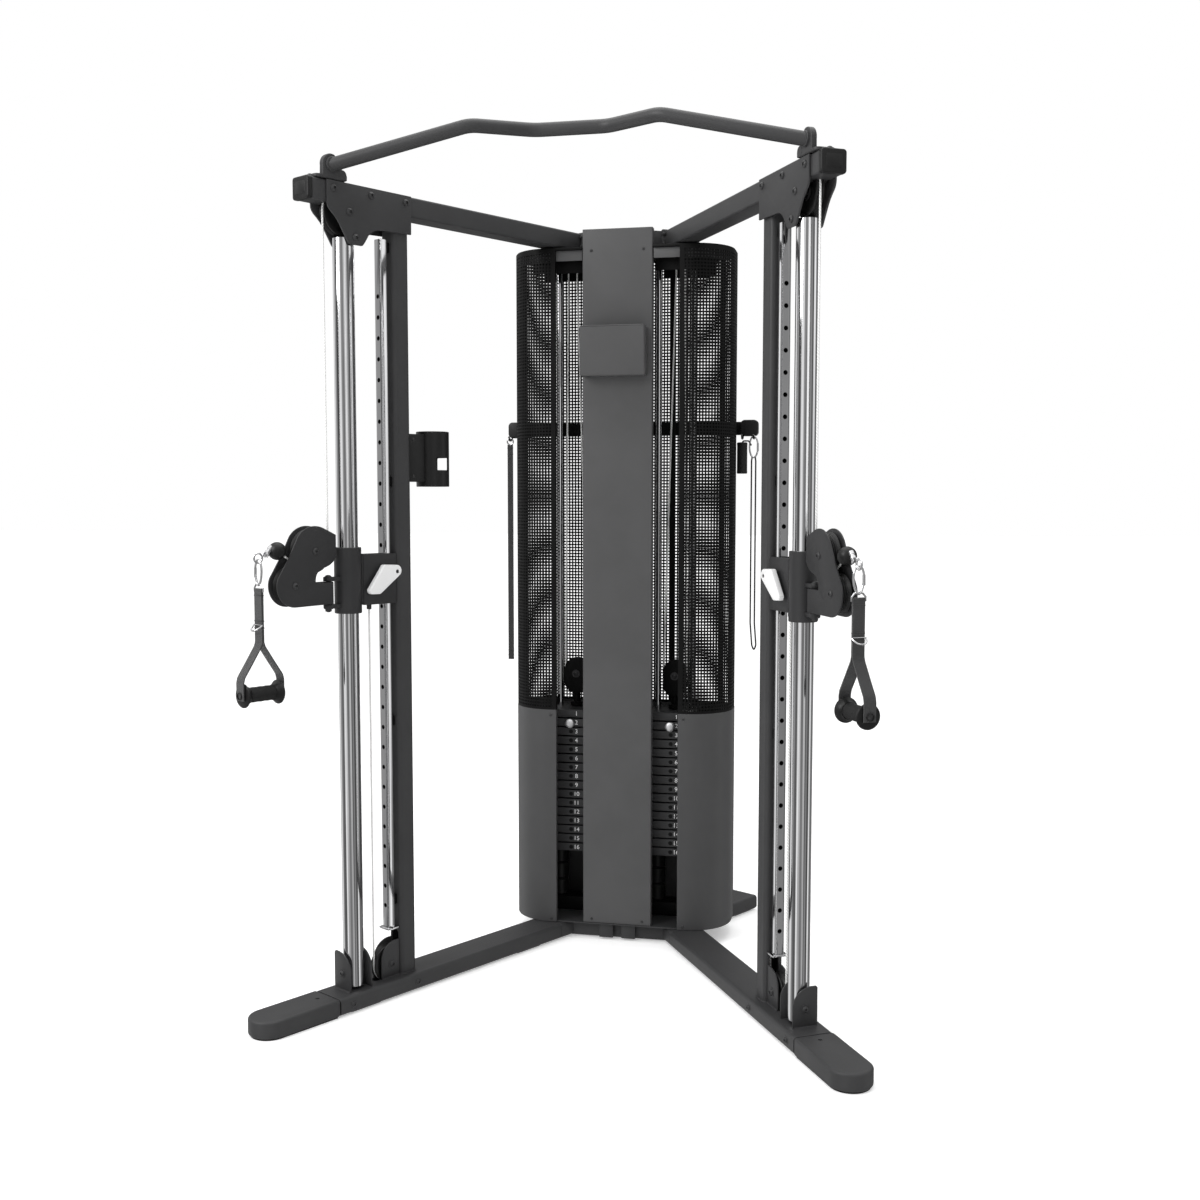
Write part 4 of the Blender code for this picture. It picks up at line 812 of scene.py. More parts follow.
def perforated(run, z0, z1, edge=0.007, s_low=0.0, s_high=None):
    """Sheet with square holes: upright webs and level webs that follow the run."""
    lengths = run_lengths(run)
    total = lengths[-1] if s_high is None else s_high
    bm = bmesh.new()

    def strip(points, normals, low, high, lift):
        rings = []
        for (x, y), (nx, ny) in zip(points, normals):
            outer = (x + nx * lift, y + ny * lift)
            inner = (outer[0] - nx * MESH_THICK, outer[1] - ny * MESH_THICK)
            rings.append([(*outer, low), (*outer, high), (*inner, high), (*inner, low)])
        skin_fast(bm, rings)

    def level(low, high, lift):
        stops = [s_low] + [s for s in lengths if s_low < s < total] + [total]
        found = [on_run(run, lengths, s) for s in stops]
        strip([f[0] for f in found], [f[1] for f in found], low, high, lift)

    def riser(a, b, lift):
        found = [on_run(run, lengths, s) for s in (a, b)]
        strip([f[0] for f in found], [f[1] for f in found], z0, z1, lift)

    columns = int((total - s_low - 2 * edge) / MESH_PITCH)
    side = (total - s_low - columns * MESH_PITCH - MESH_WEB) / 2
    riser(s_low, s_low + side + MESH_WEB, 0.00015)
    riser(total - side - MESH_WEB, total, 0.00015)
    for i in range(1, columns):
        start = s_low + side + i * MESH_PITCH
        riser(start, start + MESH_WEB, 0.00015)
    rows = int((z1 - z0 - 2 * edge) / MESH_PITCH)
    rim = (z1 - z0 - rows * MESH_PITCH - MESH_WEB) / 2
    level(z0, z0 + rim + MESH_WEB, 0.0)
    level(z1 - rim - MESH_WEB, z1, 0.0)
    for i in range(1, rows):
        low = z0 + rim + i * MESH_PITCH
        level(low, low + MESH_WEB, 0.0)
    bmesh.ops.recalc_face_normals(bm, faces=bm.faces)
    return bm


def skin_fast(bm, rings):
    rows = [[bm.verts.new(point) for point in ring] for ring in rings]
    for low, high in zip(rows, rows[1:]):
        for i in range(4):
            j = (i + 1) % 4
            bm.faces.new((low[i], low[j], high[j], high[i]))
    bm.faces.new(rows[0][::-1])
    bm.faces.new(rows[-1])


def guards():
    for name, side in SIDES.items():
        place = tower(side)
        flange = [
            (SLOT_OUTER, TOWER_FRONT), (SLOT_OUTER, TOWER_FRONT + 0.014),
            (SLOT_OUTER + 0.002, TOWER_FRONT + 0.014), (SLOT_OUTER + 0.002, TOWER_FRONT + 0.002)
        ]
        outer, inner = guard_run(0.0), guard_run(0.002)
        solid = prism(flange + inner[1:] + outer[:0:-1], "z", GUARD_Z0, GUARD_SPLIT, 0.0006, 1)
        piece(f"guard_lower_{name}", [solid], place, FRAME_PAINT_LIGHTENED, stands_for=(f"side_guard_{name}",))
        mesh = perforated(guard_run(0.0008, 16), GUARD_SPLIT - 0.004, GUARD_Z1)
        edge = box(
            (SLOT_OUTER, SLOT_OUTER + 0.0016), (TOWER_FRONT + 0.001, TOWER_FRONT + 0.014),
            (GUARD_SPLIT, GUARD_Z1), 0.0004, 1
        )
        piece(f"guard_mesh_{name}", [mesh, edge], place, BLACK)
        screws = []
        for z in (0.056, 0.645):
            screws += bolt((0.19, TOWER_FRONT, z), (0, -1, 0), 0.004, 0.002, 0)
        piece(f"guard_screws_{name}", screws, place, BOLTS)
        seam = box(
            (TOWER_HALF - 0.0052, TOWER_HALF - 0.0026), (TOWER_MID - 0.02, TOWER_MID + 0.018),
            (GUARD_Z0 + 0.002, GUARD_Z1 - 0.002), 0.0004, 1
        )
        piece(f"guard_seam_strip_{name}", [seam], place, BLACK)
    outer, inner = rear_run(0.0), rear_run(0.002)
    solid = prism(outer + inner[::-1], "z", GUARD_Z0, GUARD_SPLIT, 0.0006, 1)
    piece("rear_guard_lower", [solid], tower(), FRAME_PAINT_LIGHTENED, stands_for=("rear_guard",))
    run = rear_run(0.0008, 14)
    total = run_lengths(run)[-1]
    for k in range(3):
        mesh = perforated(run, GUARD_SPLIT - 0.004, GUARD_Z1, 0.0045, total * k / 3, total * (k + 1) / 3)
        piece(f"rear_guard_mesh_{k}", [mesh], tower(), BLACK)


def panel():
    place = tower()
    back, r = PANEL_Y + 0.024, 0.003
    outer = [(-SLOT_INNER, back)] + arc(
        (-SLOT_INNER + r, PANEL_Y + r), r, 180, 270, 5
    ) + arc((SLOT_INNER - r, PANEL_Y + r), r, 270, 360, 5) + [(SLOT_INNER, back)]
    w = 0.0022
    inner = [
        (-SLOT_INNER + w, back), (-SLOT_INNER + w, PANEL_Y + w), (SLOT_INNER - w, PANEL_Y + w),
        (SLOT_INNER - w, back)
    ]
    piece(
        "panel", [prism(outer + inner[::-1], "z", PANEL_Z0, PANEL_Z1, 0.0006, 1)], place, PANEL,
        stands_for=("center_panel",)
    )
    screws = []
    for x in (-0.073, 0.073):
        for z in (0.06, 1.937):
            screws += bolt((x, PANEL_Y, z), (0, -1, 0), 0.0042, 0.0022, 0)
    piece("panel_screws", screws, place, BOLTS)


def head():
    place = tower()
    outline = tower_outline(0.0029)
    edge, notch = TOWER_FRONT + 0.0029, PANEL_Y + 0.0246
    outline = [(0.099, notch), (0.099, edge)] + outline + [(-0.099, edge), (-0.099, notch)]
    top = prism(outline, "z", 1.9402, 1.9474, 0.0008, 2)
    piece("head_top_plate", [top], place, BLACK, stands_for=("tower_head",))
    c, s = math.cos(ARM_ANGLE), math.sin(ARM_ANGLE)
    t = BEAM_T0 - 0.0004
    corner = (0.2, (0.2 * c - t) / s)
    plan = [(0.0, -t / s), corner, (0.2, -0.15), (-0.2, -0.15), (-0.2, corner[1])]
    piece("head_box", [prism(plan, "z", 1.9475, 1.9988, 0.001, 2)], place, PAINT)
    radius = FRONT_R - 0.012
    centre = (TOWER_HALF - FRONT_R, TOWER_FRONT + FRONT_R)
    right_outer = [(0.1, TOWER_FRONT + 0.012)] + arc(centre, radius, -90, -10, 16)
    right_inner = [(0.1, TOWER_FRONT + 0.015)] + arc(centre, radius - 0.003, -90, -10, 16)
    for name, side in SIDES.items():
        band = prism(right_outer + right_inner[::-1], "z", 1.912, 1.94, 0.0008, 2)
        piece(f"head_band_{name}", [band], tower(side), PANEL)
        channel = [
            box((0.1, 0.25), (-0.305, -0.302), (1.885, 1.939), 0.0008),
            box((0.1, 0.25), (-0.17, -0.167), (1.885, 1.939), 0.0008),
            box((0.1, 0.12), (-0.302, -0.17), (1.91, 1.939), 0.0008),
        ]
        piece(f"head_channel_{name}", channel, tower(side), BLACK)


def media_holder():
    low, high, depth, back = -0.096, 0.085, 0.056, PANEL_Y - 0.0006
    z0, z1 = 1.592, 1.726
    profile = [(back, z0), (back - depth + 0.01, z0), (back - depth, z1), (back, z1)]
    outer = prism(profile, "x", low, high, 0.0045, 4)
    wall = 0.003
    hollow = [
        (back - wall, z0 + wall), (back - depth + 0.0135, z0 + wall), (back - depth + wall, z1 + 0.02),
        (back - wall, z1 + 0.02)
    ]
    pocket = carve(outer, prism(hollow, "x", low + wall, high - wall, 0.003, 3))
    piece("media_pocket", [pocket], tower(), PANEL, stands_for=("media_holder",), angle=40)
    lip = tube(
        [(low + 0.004, back - depth + 0.0016, z1), (high - 0.004, back - depth + 0.0016, z1)], 0.0017, 10
    )
    piece("media_lip", [lip], tower(), PANEL)


# ---- weights ----
def digits(text, x, z, front, side):
    """Raised number, right of the pin holes on both stacks."""
    curve = bpy.data.curves.new("digits", "FONT")
    curve.body, curve.size, curve.extrude = text, 0.0175, 0.00025
    curve.align_x, curve.align_y = "CENTER", "CENTER"
    thing = bpy.data.objects.new("digits", curve)
    bpy.context.scene.collection.objects.link(thing)
    bpy.context.view_layer.update()
    mesh = bpy.data.meshes.new_from_object(thing.evaluated_get(bpy.context.evaluated_depsgraph_get()))
    bpy.data.objects.remove(thing)
    bpy.data.curves.remove(curve)
    mesh.transform(
        Matrix.Translation((side * x + 0.016, front - 0.0002, z)) @ Matrix.Rotation(math.pi / 2, 4, "X")
    )
    bm = bmesh.new()
    bm.from_mesh(mesh)
    bpy.data.meshes.remove(mesh)
    return bm


def weights(name, side):
    place = tower(side)
    front = STACK_Y - PLATE_Y
    for first, last, body, node, label in (
        (0, PLATES - LIFTED, "frame", "resting_weights", "plates_resting"),
        (PLATES - LIFTED, PLATES, f"stack_{name}", "lifted_weights", "plates_lifted"),
    ):
        plates, holes, numbers = [], [], []
        for k in range(first, last):
            z = STACK_Z0 + k * PLATE_PITCH
            plates.append(
                box(
                    (STACK_X - PLATE_X, STACK_X + PLATE_X), (front, STACK_Y + PLATE_Y),
                    (z + 0.0012, z + PLATE_THICK - 0.0018), 0.0018, 3
                )
            )
            middle = z + PLATE_THICK / 2
            if k < PLATES - 1:
                # painted shade: a thin black disc on each plate's face stands for the dark inside of its pin
                # hole; no hole is cut
                holes.append(
                    lathe(
                        [(0.0, 0.0), (0.0, 0.0003), (0.0057, 0.0003), (0.0059, 0.0)],
                        (STACK_X, front, middle), (0, -1, 0), 28
                    )
                )
            numbers.append(digits(str(PLATES - k), STACK_X, middle, front, side))
        piece(f"{label}_{name}", plates, place, IRON, body, (f"{node}_{name}",))
        piece(f"{label}_holes_{name}", holes, place, BLACK, body)
        piece(f"{label}_numbers_{name}", numbers, Matrix.Translation((0, APEX_Y, 0)), INK, body)
    body = f"stack_{name}"
    neck = rod((STACK_X, STACK_Y, LIFTED_Z1 - 0.004), (STACK_X, STACK_Y, MOVING_Z - 0.042), 0.0105, 28)
    collar = rod((STACK_X, STACK_Y, LIFTED_Z1), (STACK_X, STACK_Y, LIFTED_Z1 + 0.012), 0.019, 36, 0.001)
    outline = arc((STACK_X, MOVING_Z + 0.012), 0.034, 0, 180, 20) + arc(
        (STACK_X, MOVING_Z - 0.024), 0.034, 180, 360, 20
    )
    cheeks = [prism(outline, "y", STACK_Y + v, STACK_Y + v + 0.004, 0.0012, 2) for v in (-0.016, 0.012)]
    bridge = box(
        (STACK_X - 0.02, STACK_X + 0.02), (STACK_Y - 0.0125, STACK_Y + 0.0125),
        (MOVING_Z - 0.056, MOVING_Z - 0.04)
    )
    piece(f"stack_fork_{name}", [neck, collar, bridge] + cheeks, place, BLACK, body)
    bolts = bolt((STACK_X, STACK_Y - 0.016, MOVING_Z), (0, -1, 0), 0.008, 0.0044)
    bolts += bolt((STACK_X, STACK_Y + 0.016, MOVING_Z), (0, 1, 0), 0.008, 0.0044)
    bolts.append(rod((STACK_X, STACK_Y - 0.016, MOVING_Z), (STACK_X, STACK_Y + 0.016, MOVING_Z), AXLE_R, 20))
    bolts.append(rod((STACK_X, STACK_Y, STACK_Z0 + 0.004), (STACK_X, STACK_Y, LIFTED_Z0 + 0.004), STEM_R, 20))
    piece(f"stack_bolts_{name}", bolts, place, BOLTS, body)
    tips = [(0.0, -0.0012), (0.0046, 0.0), (0.0046, 0.05), (0.0, 0.05)]
    shank = lathe(tips, (STACK_X, STACK_Y - 0.032, PIN_Z), (0, -1, 0), 24)
    knob = [
        (0.0, 0.0), (0.0086, 0.0), (0.0098, 0.001), (0.0098, 0.0034), (0.0076, 0.0046), (0.0078, 0.0062),
        (0.0118, 0.0086)
    ]
    knob += [
        (0.0133, 0.0112), (0.0135, 0.015), (0.0126, 0.0182), (0.01, 0.0204), (0.006, 0.0214), (0.0, 0.0216)
    ]
    head_part = lathe(knob, (STACK_X, front - 0.0026, PIN_Z), (0, -1, 0), 40)
    piece(f"pin_{name}_chrome", [shank, head_part], place, SATIN, f"pin_{name}", (f"selector_pin_{name}",))


def rods(name, side):
    place = tower(side)
    z0 = 0.0492
    chrome = [
        rod((STACK_X + dx, STACK_Y, z0 + 0.004), (STACK_X + dx, STACK_Y, 1.939), ROD_R, 36)
        for dx in (-ROD_DX, ROD_DX)
    ]
    piece(f"rods_{name}", chrome, place, CHROME, stands_for=(f"guide_rods_{name}",))
    rings = []
    for dx in (-ROD_DX, ROD_DX):
        z = z0 + 0.04
        while z < STACK_Z0 - 0.01:
            top = min(z + 0.049, STACK_Z0 - 0.0006)
            rings.append(
                hollow_rod(
                    (STACK_X + dx, STACK_Y, z), (STACK_X + dx, STACK_Y, top - 0.0006), ROD_R + 0.0002,
                    0.0235, 40, 0.004
                )
            )
            z = top
    piece(f"rod_buffers_{name}", rings, place, RUBBER)
    foot_bar = box((STACK_X - 0.07, STACK_X + 0.07), (STACK_Y - 0.03, STACK_Y + 0.03), (z0, z0 + 0.04), 0.002)
    piece(f"rod_foot_{name}", [foot_bar], place, BLACK)


# ---- pulleys ----
def wheel(centre, axis, path, rim, half=0.0095, bore=AXLE_R, hub=0.0125):
    """Machined nylon pulley: round-bottomed groove, dished web and a steel bearing."""
    groove = path - CABLE_R * 0.92
    profile = [
        (hub, -half * 0.92), (hub + 0.0016, -half), (hub + 0.004, -half), (hub + 0.0052, -half * 0.55),
        (rim - 0.01, -half * 0.55)
    ]
    profile += [(rim - 0.0085, -half), (rim - 0.0008, -half), (rim, -half + 0.0008), (rim, -half + 0.0018)]
    for d in (-70, -35, 0, 35, 70):
        a = math.radians(d)
        profile.append((groove + CABLE_R * (1 - math.cos(a)), CABLE_R * math.sin(a)))
    profile += [(r, -h) for r, h in profile[8::-1]]
    tyre = lathe(profile, centre, axis, 72)
    bearing = lathe(
        [
            (bore + 0.0003, -half * 0.85), (hub - 0.0002, -half * 0.85), (hub - 0.0002, half * 0.85),
            (bore + 0.0003, half * 0.85)
        ],
        centre, axis, 36
    )
    return tyre, bearing


def pulleys(name, side):
    rows = {
        f"top_wheel_{name}": ("top_pulley", (TOP_T, 0, TOP_Z), TOP_PATH, TOP_RIM, 0.0078, 0.014),
        f"foot_wheel_{name}": ("bottom_pulley", (FOOT_T, 0, FOOT_Z), FOOT_PATH, FOOT_RIM, AXLE_R, 0.0125),
        f"upper_wheel_{name}": (
            "swivel_pulley_upper", (UPPER_T, 0, UPPER_Z), UPPER_PATH, UPPER_RIM, AXLE_R, 0.0125
        ),
        f"lower_wheel_{name}": (
            "swivel_pulley_lower", (LOWER_T, 0, LOWER_Z), LOWER_PATH, LOWER_RIM, AXLE_R, 0.0125
        ),
    }
    for body, (node, centre, path, rim, bore, hub) in rows.items():
        tyre, bearing = wheel(centre, (0, 1, 0), path, rim, 0.0095, bore, hub)
        piece(f"{node}_tyre_{name}", [tyre], arm(side), PLASTIC, body, (f"{node}_{name}",))
        piece(f"{node}_bearing_{name}", [bearing], arm(side), ZINC, body)
    tyre, bearing = wheel((STACK_X, STACK_Y, MOVING_Z), (0, 1, 0), MOVING_PATH, MOVING_RIM, 0.0085)
    piece(
        f"moving_pulley_tyre_{name}", [tyre], tower(side), PLASTIC, f"stack_wheel_{name}",
        (f"moving_pulley_{name}",)
    )
    piece(f"moving_pulley_bearing_{name}", [bearing], tower(side), ZINC, f"stack_wheel_{name}")


# ---- carriage, lever, swivel ----
def carriage(name, side):
    place, body, z = arm(side), f"carriage_{name}", CARRIAGE_Z
    sleeve = hollow_rod((POST_T, 0, z - 0.08), (POST_T, 0, z + 0.08), 0.0285, 0.033, 72, 0.001)
    web = box((RAIL_T1 + 0.01, POST_T - 0.031), (-0.015, 0.015), (z - 0.06, z + 0.06))
    cheeks = [
        prism(
            rounded((UPRIGHT_T + UPRIGHT_HALF + 0.0015, z - 0.062), (POST_T - 0.03, z + 0.062), 0.002, 3),
            "y", v, v + 0.008, 0.001
        )
        for v in (-0.023, 0.015)
    ]
    lugs = []
    for height in (-0.033, 0.033):
        centre = SWIVEL_Z + height
        outline = [
            (POST_T + 0.029, -0.012), (HINGE_T, -0.012)
        ] + arc((HINGE_T, 0), 0.012, -90, 90, 14) + [(POST_T + 0.029, 0.012)]
        lugs.append(prism(outline, "z", centre - 0.0048, centre + 0.0048, 0.001, 2))
    beads = []
    for way in (-1, 1):
        v, t = way * 0.0235, POST_T - 0.025
        beads.append(weld([(t, v, z - 0.06), (t, v, z + 0.06)], 0.0026))
    piece(
        f"carriage_body_{name}", [sleeve, web, *cheeks, *lugs, *beads], place, BLACK_BODY, body,
        (f"carriage_{name}",)
    )
    liners = []
    for low in (z - 0.08, z + 0.08 - 0.02):
        liners.append(
            hollow_rod((POST_T, 0, low), (POST_T, 0, low + 0.02), POST_R + 0.0004, 0.0284, 60, 0.0004)
        )
    piece(f"carriage_liners_{name}", liners, place, PLASTIC, body)
    anchor_t = FOOT_T + FOOT_PATH
    ferrule = rod((anchor_t, 0, z - 0.075), (anchor_t, 0, z - 0.06), 0.006, 28, 0.001)
    steel = [ferrule, rod((HINGE_T, 0, SWIVEL_Z - 0.041), (HINGE_T, 0, SWIVEL_Z + 0.037), 0.004, 24)]
    steel += hex_nut((HINGE_T, 0, SWIVEL_Z - 0.0378), (0, 0, -1), 0.008, 0.006, 0.0012)
    steel += bolt((HINGE_T, 0, SWIVEL_Z + 0.0378), (0, 0, 1), 0.0074, 0.0044, 0.0012)
    steel.append(rod((LEVER_T, -0.031, LEVER_Z), (LEVER_T, -0.02, LEVER_Z), 0.0046, 24))
    steel += bolt((LEVER_T, -0.0432, LEVER_Z), (0, -1, 0), 0.0044, 0.002, 0)
    piece(f"carriage_steel_{name}", steel, place, BOLTS, body)


def lever(name, side):
    shape = arc((0, 0.002), 0.0142, 92, 236, 14) + arc((0.056, -0.044), 0.0095, 236, 268, 4)
    shape += arc((0.0765, -0.0435), 0.0092, 272, 380, 8) + arc((0.037, 0.01), 0.008, 20, 92, 6)
    outline = [(LEVER_T + t, LEVER_Z + z) for t, z in shape]
    paddle = prism(outline, "y", -0.045, -0.031, 0.0026, 4)
    eye = rod((LEVER_T, -0.0475, LEVER_Z), (LEVER_T, -0.042, LEVER_Z), 0.0052, 24)
    paddle = carve(paddle, eye)
    spring = hollow_rod((LEVER_T, -0.0312, LEVER_Z), (LEVER_T, -0.0232, LEVER_Z), 0.005, 0.0085, 32)
    piece(f"lever_paddle_{name}", [paddle], arm(side), WHITE, f"lever_{name}", (f"release_lever_{name}",))
    piece(f"lever_boss_{name}", [spring], arm(side), PLASTIC, f"lever_{name}")


def swivel(name, side):
    place, body = arm(side), f"swivel_{name}"
    back, foot_t = HINGE_T - 0.011, HINGE_T - 0.002
    outline = [(back, UPPER_Z - 0.015), (back, UPPER_Z + 0.038)]
    outline += arc((UPPER_T, UPPER_Z), UPPER_LOBE - 0.0004, 114, 36, 20)
    outline += [(UPPER_T + 0.072, UPPER_Z - 0.01)]
    outline += arc((LOWER_T, LOWER_Z), LOWER_LOBE - 0.0004, 22, -90, 24)
    outline += [(foot_t, SWIVEL_Z - 0.0258), (foot_t, SWIVEL_Z + 0.0268), (UPPER_T, SWIVEL_Z + 0.026)]
    notch = ((-0.0004, -0.068), (-0.0018, -0.06), (-0.005, -0.053), (-0.011, -0.047), (-0.02, -0.042))
    notch += ((-0.031, -0.0385), (-0.042, -0.034), (-0.052, -0.0265))
    outline += [(UPPER_T + t, UPPER_Z + z) for t, z in notch]
    plates = [prism(outline, "y", low, low + 0.004, 0.0009, 2) for low in (-0.019, 0.015)]
    barrel = hollow_rod((HINGE_T, 0, SWIVEL_Z - 0.027), (HINGE_T, 0, SWIVEL_Z + 0.027), 0.0048, 0.0115, 40)
    web = box((HINGE_T + 0.003, HINGE_T + 0.013), (-0.016, 0.016), (SWIVEL_Z - 0.025, SWIVEL_Z + 0.025))
    piece(
        f"swivel_plates_{name}", [*plates, barrel, web], place, BLACK_BODY, body,
        (f"swivel_bracket_{name}",)
    )
    bolts = []
    for t, z in ((UPPER_T, UPPER_Z), (LOWER_T, LOWER_Z)):
        for way in (-1, 1):
            bolts += bolt((t, way * 0.019, z), (0, way, 0), 0.008, 0.0044, 0)
            bolts.append(hollow_rod((t, way * 0.01, z), (t, way * 0.015, z), AXLE_R, 0.008, 28))
        bolts.append(rod((t, -0.019, z), (t, 0.019, z), AXLE_R, 20))
    piece(f"swivel_bolts_{name}", bolts, place, BOLTS, body)


def nip_point():
    a = -math.pi / 2 + PULL_ANGLE
    return (UPPER_T + UPPER_PATH * math.cos(a), UPPER_Z + UPPER_PATH * math.sin(a))


def ball_point():
    t, z = nip_point()
    return (t + BALL_AWAY * math.cos(PULL_ANGLE), z + BALL_AWAY * math.sin(PULL_ANGLE))


def stop_ball(name, side):
    place, body = arm(side), f"ball_{name}"
    t, z = ball_point()
    way = (math.cos(PULL_ANGLE), 0, math.sin(PULL_ANGLE))
    meridian = [
        (BALL_R * math.cos(a), BALL_R * math.sin(a))
        for a in (math.radians(-80 + 160 * i / 28) for i in range(29))
    ]
    middle = [i for i, (r, h) in enumerate(meridian) if abs(h) < 0.0009]
    for i in middle:
        meridian[i] = (meridian[i][0] - 0.0004, meridian[i][1])
    ball = lathe([(0.0, meridian[0][1])] + meridian + [(0.0, meridian[-1][1])], (t, 0, z), way, 64)
    piece(f"ball_{name}_rubber", [ball], place, RUBBER, body, (f"stop_ball_{name}",))
    out = Vector((t, 0, z)) + Vector(way) * (BALL_R - 0.002)
    aim = (Vector((EYE_T - 0.015, 0, EYE_Z + 0.003)) - out).normalized()
    barrel = lathe(
        [
            (0, 0), (0.0055, 0), (0.0062, 0.001), (0.0062, 0.009), (0.005, 0.01), (0.005, 0.013),
            (0.0066, 0.014), (0.0066, 0.02), (0.005, 0.021), (0, 0.021)
        ],
        out, aim, 32
    )
    end = out + aim * 0.019
    jaws = [box((-0.0005, 0.01), (v, v + 0.0022), (-0.005, 0.005), 0.0008) for v in (-0.0056, 0.0034)]
    for jaw in jaws:
        jaw.transform(Matrix.Translation(end) @ Matrix.Rotation(math.atan2(-aim.z, aim.x), 4, "Y"))
    eye = tube(
        oval((EYE_T, 0, EYE_Z + 0.0042), 0.011, 0.011, ((1, 0, 0), (0, 0, 1)), 36), 0.0023, 14, (0, 1, 0)
    )
    piece(f"ball_link_{name}", [barrel, *jaws, eye], place, CHROME, body)


# ---- handle ----
def handle(name, side):
    place, body = arm(side), f"handle_{name}"
    top, bottom = EYE_Z + 0.0002, EYE_Z - 0.058
    clip_path = []
    for d in range(0, 360, 10):
        a = math.radians(d)
        wide = 0.0122 + 0.0022 * math.sin(a - 0.2)
        clip_path.append((EYE_T, wide * math.cos(a), (top + bottom) / 2 + (top - bottom) / 2 * math.sin(a)))
    clip = tube(clip_path, 0.0025, 14, (1, 0, 0))
    gate = tube([(EYE_T, 0.0118, EYE_Z - 0.018), (EYE_T, 0.0122, EYE_Z - 0.04)], 0.0032, 14)
    ring_z = bottom - 0.007
    ring = tube(
        [
            (EYE_T, -0.0165, ring_z - 0.007), (EYE_T, -0.0165, ring_z + 0.001),
            (EYE_T, -0.01, ring_z + 0.0085), (EYE_T, 0.0, ring_z + 0.0105)
        ]
        + [(EYE_T, 0.01, ring_z + 0.0085), (EYE_T, 0.0165, ring_z + 0.001), (EYE_T, 0.0165, ring_z - 0.007)],
        0.0022, 12, (1, 0, 0),
    )
    split, spare = 0.925, 0.968
    half_ring = [
        (EYE_T + 0.0035 + 0.015 * math.sin(math.radians(d)), -0.0165 * math.cos(math.radians(d)), spare)
        for d in range(0, 181, 15)
    ]
    half_ring = [
        (a, b, c - 0.012 * math.sin(math.radians(d)))
        for (a, b, c), d in zip(half_ring, range(0, 181, 15))
    ]
    spare_ring = tube(
        half_ring + [(EYE_T + 0.0035, 0.0165, spare + 0.001), (EYE_T + 0.0035, -0.0165, spare + 0.001)],
        0.0019, 12, (0.45, 0, 0.9)
    )
    piece(f"handle_metal_{name}", [clip, gate, ring, spare_ring], place, CHROME, body)
    wide = (0.0142, 0.0014, (0, 1, 0))
    neck_top = ring_z - 0.0062
    loop = []
    for way in (-1, 1):
        reach = GRIP_HALF - 0.0086
        route = [
            (EYE_T + way * 0.0016, 0, neck_top + 0.002),
            (EYE_T + way * 0.0016, 0, spare),
            (EYE_T + way * 0.0018, 0, split + 0.004),
            (EYE_T + way * 0.005, 0, split - 0.006),
            (EYE_T + way * reach * 0.55, 0, (split + GRIP_Z + 0.038) / 2 - 0.004),
            (EYE_T + way * (reach - 0.003), 0, GRIP_Z + 0.042),
            (EYE_T + way * reach, 0, GRIP_Z + 0.03),
            (EYE_T + way * reach, 0, GRIP_Z - 0.011),
        ]
        loop.append(tube(fillet(route, 0.02, 5), 0, 10, None, wide))
    fold = [
        (EYE_T + 0.003 * math.cos(a), 0, neck_top + 0.002 + 0.003 * math.sin(a))
        for a in (math.radians(d) for d in range(0, 181, 30))
    ]
    loop.append(tube(fold, 0, 10, None, (0.0142, 0.0012, (0, 1, 0))))
    for z in (neck_top - 0.01, spare - 0.006, spare + 0.01):
        loop.append(
            box((EYE_T - 0.0042, EYE_T + 0.0042), (-0.0144, 0.0144), (z - 0.0016, z + 0.0016), 0.0006)
        )
    piece(f"handle_webbing_{name}", loop, place, WEBBING, body, (f"handle_strap_{name}",))
    core = hollow_rod(
        (EYE_T - GRIP_HALF + 0.004, 0, GRIP_Z), (EYE_T + GRIP_HALF - 0.004, 0, GRIP_Z), 0.007, 0.009, 32
    )
    piece(f"handle_core_{name}", [core], place, PLASTIC, body)


def grip(name, side):
    half = GRIP_HALF - 0.0125
    start = (EYE_T - half, 0, GRIP_Z)
    foam = [(0.0095, 0.0085), (GRIP_R + 0.001, 0.0085), (GRIP_R + 0.0004, 0.012)]
    foam += [(GRIP_R + 0.0003 * math.cos(k), 0.014 + (2 * half - 0.028) * k / 24) for k in range(25)]
    foam += [
        (GRIP_R + 0.0004, 2 * half - 0.012), (GRIP_R + 0.001, 2 * half - 0.0085),
        (0.0095, 2 * half - 0.0085)
    ]
    piece(
        f"grip_foam_{name}", [lathe(foam, start, (1, 0, 0), 56)], arm(side), FOAM, f"grip_{name}",
        (f"grip_{name}",)
    )
    rings = []
    for base, way in ((start[0], 1), (start[0] + 2 * half, -1)):
        r = FLANGE_R
        profile = [
            (0.0095, 0.0), (r - 0.0055, 0.0), (r - 0.002, 0.0008), (r - 0.0004, 0.0026),
            (r - 0.0004, 0.0046), (r - 0.003, 0.0072)
        ]
        profile += [
            (GRIP_R + 0.005, 0.01), (GRIP_R + 0.0018, 0.015), (GRIP_R + 0.0012, 0.018), (0.0095, 0.018)
        ]
        rings.append(lathe(profile, (base, 0, GRIP_Z), (way, 0, 0), 56))
    piece(f"grip_ends_{name}", rings, arm(side), RUBBER, f"grip_{name}")


# ---- cables ----
def wrap(centre, radius, start, end, steps):
    return [(t, 0.0, z) for t, z in arc(centre, radius, start, end, steps)]


def stretch(name, points, place, body="frame", stands_for=(), blend=None):
    piece(name, [tube(points, CABLE_R, 16)], place, CABLE, body, stands_for, blend)


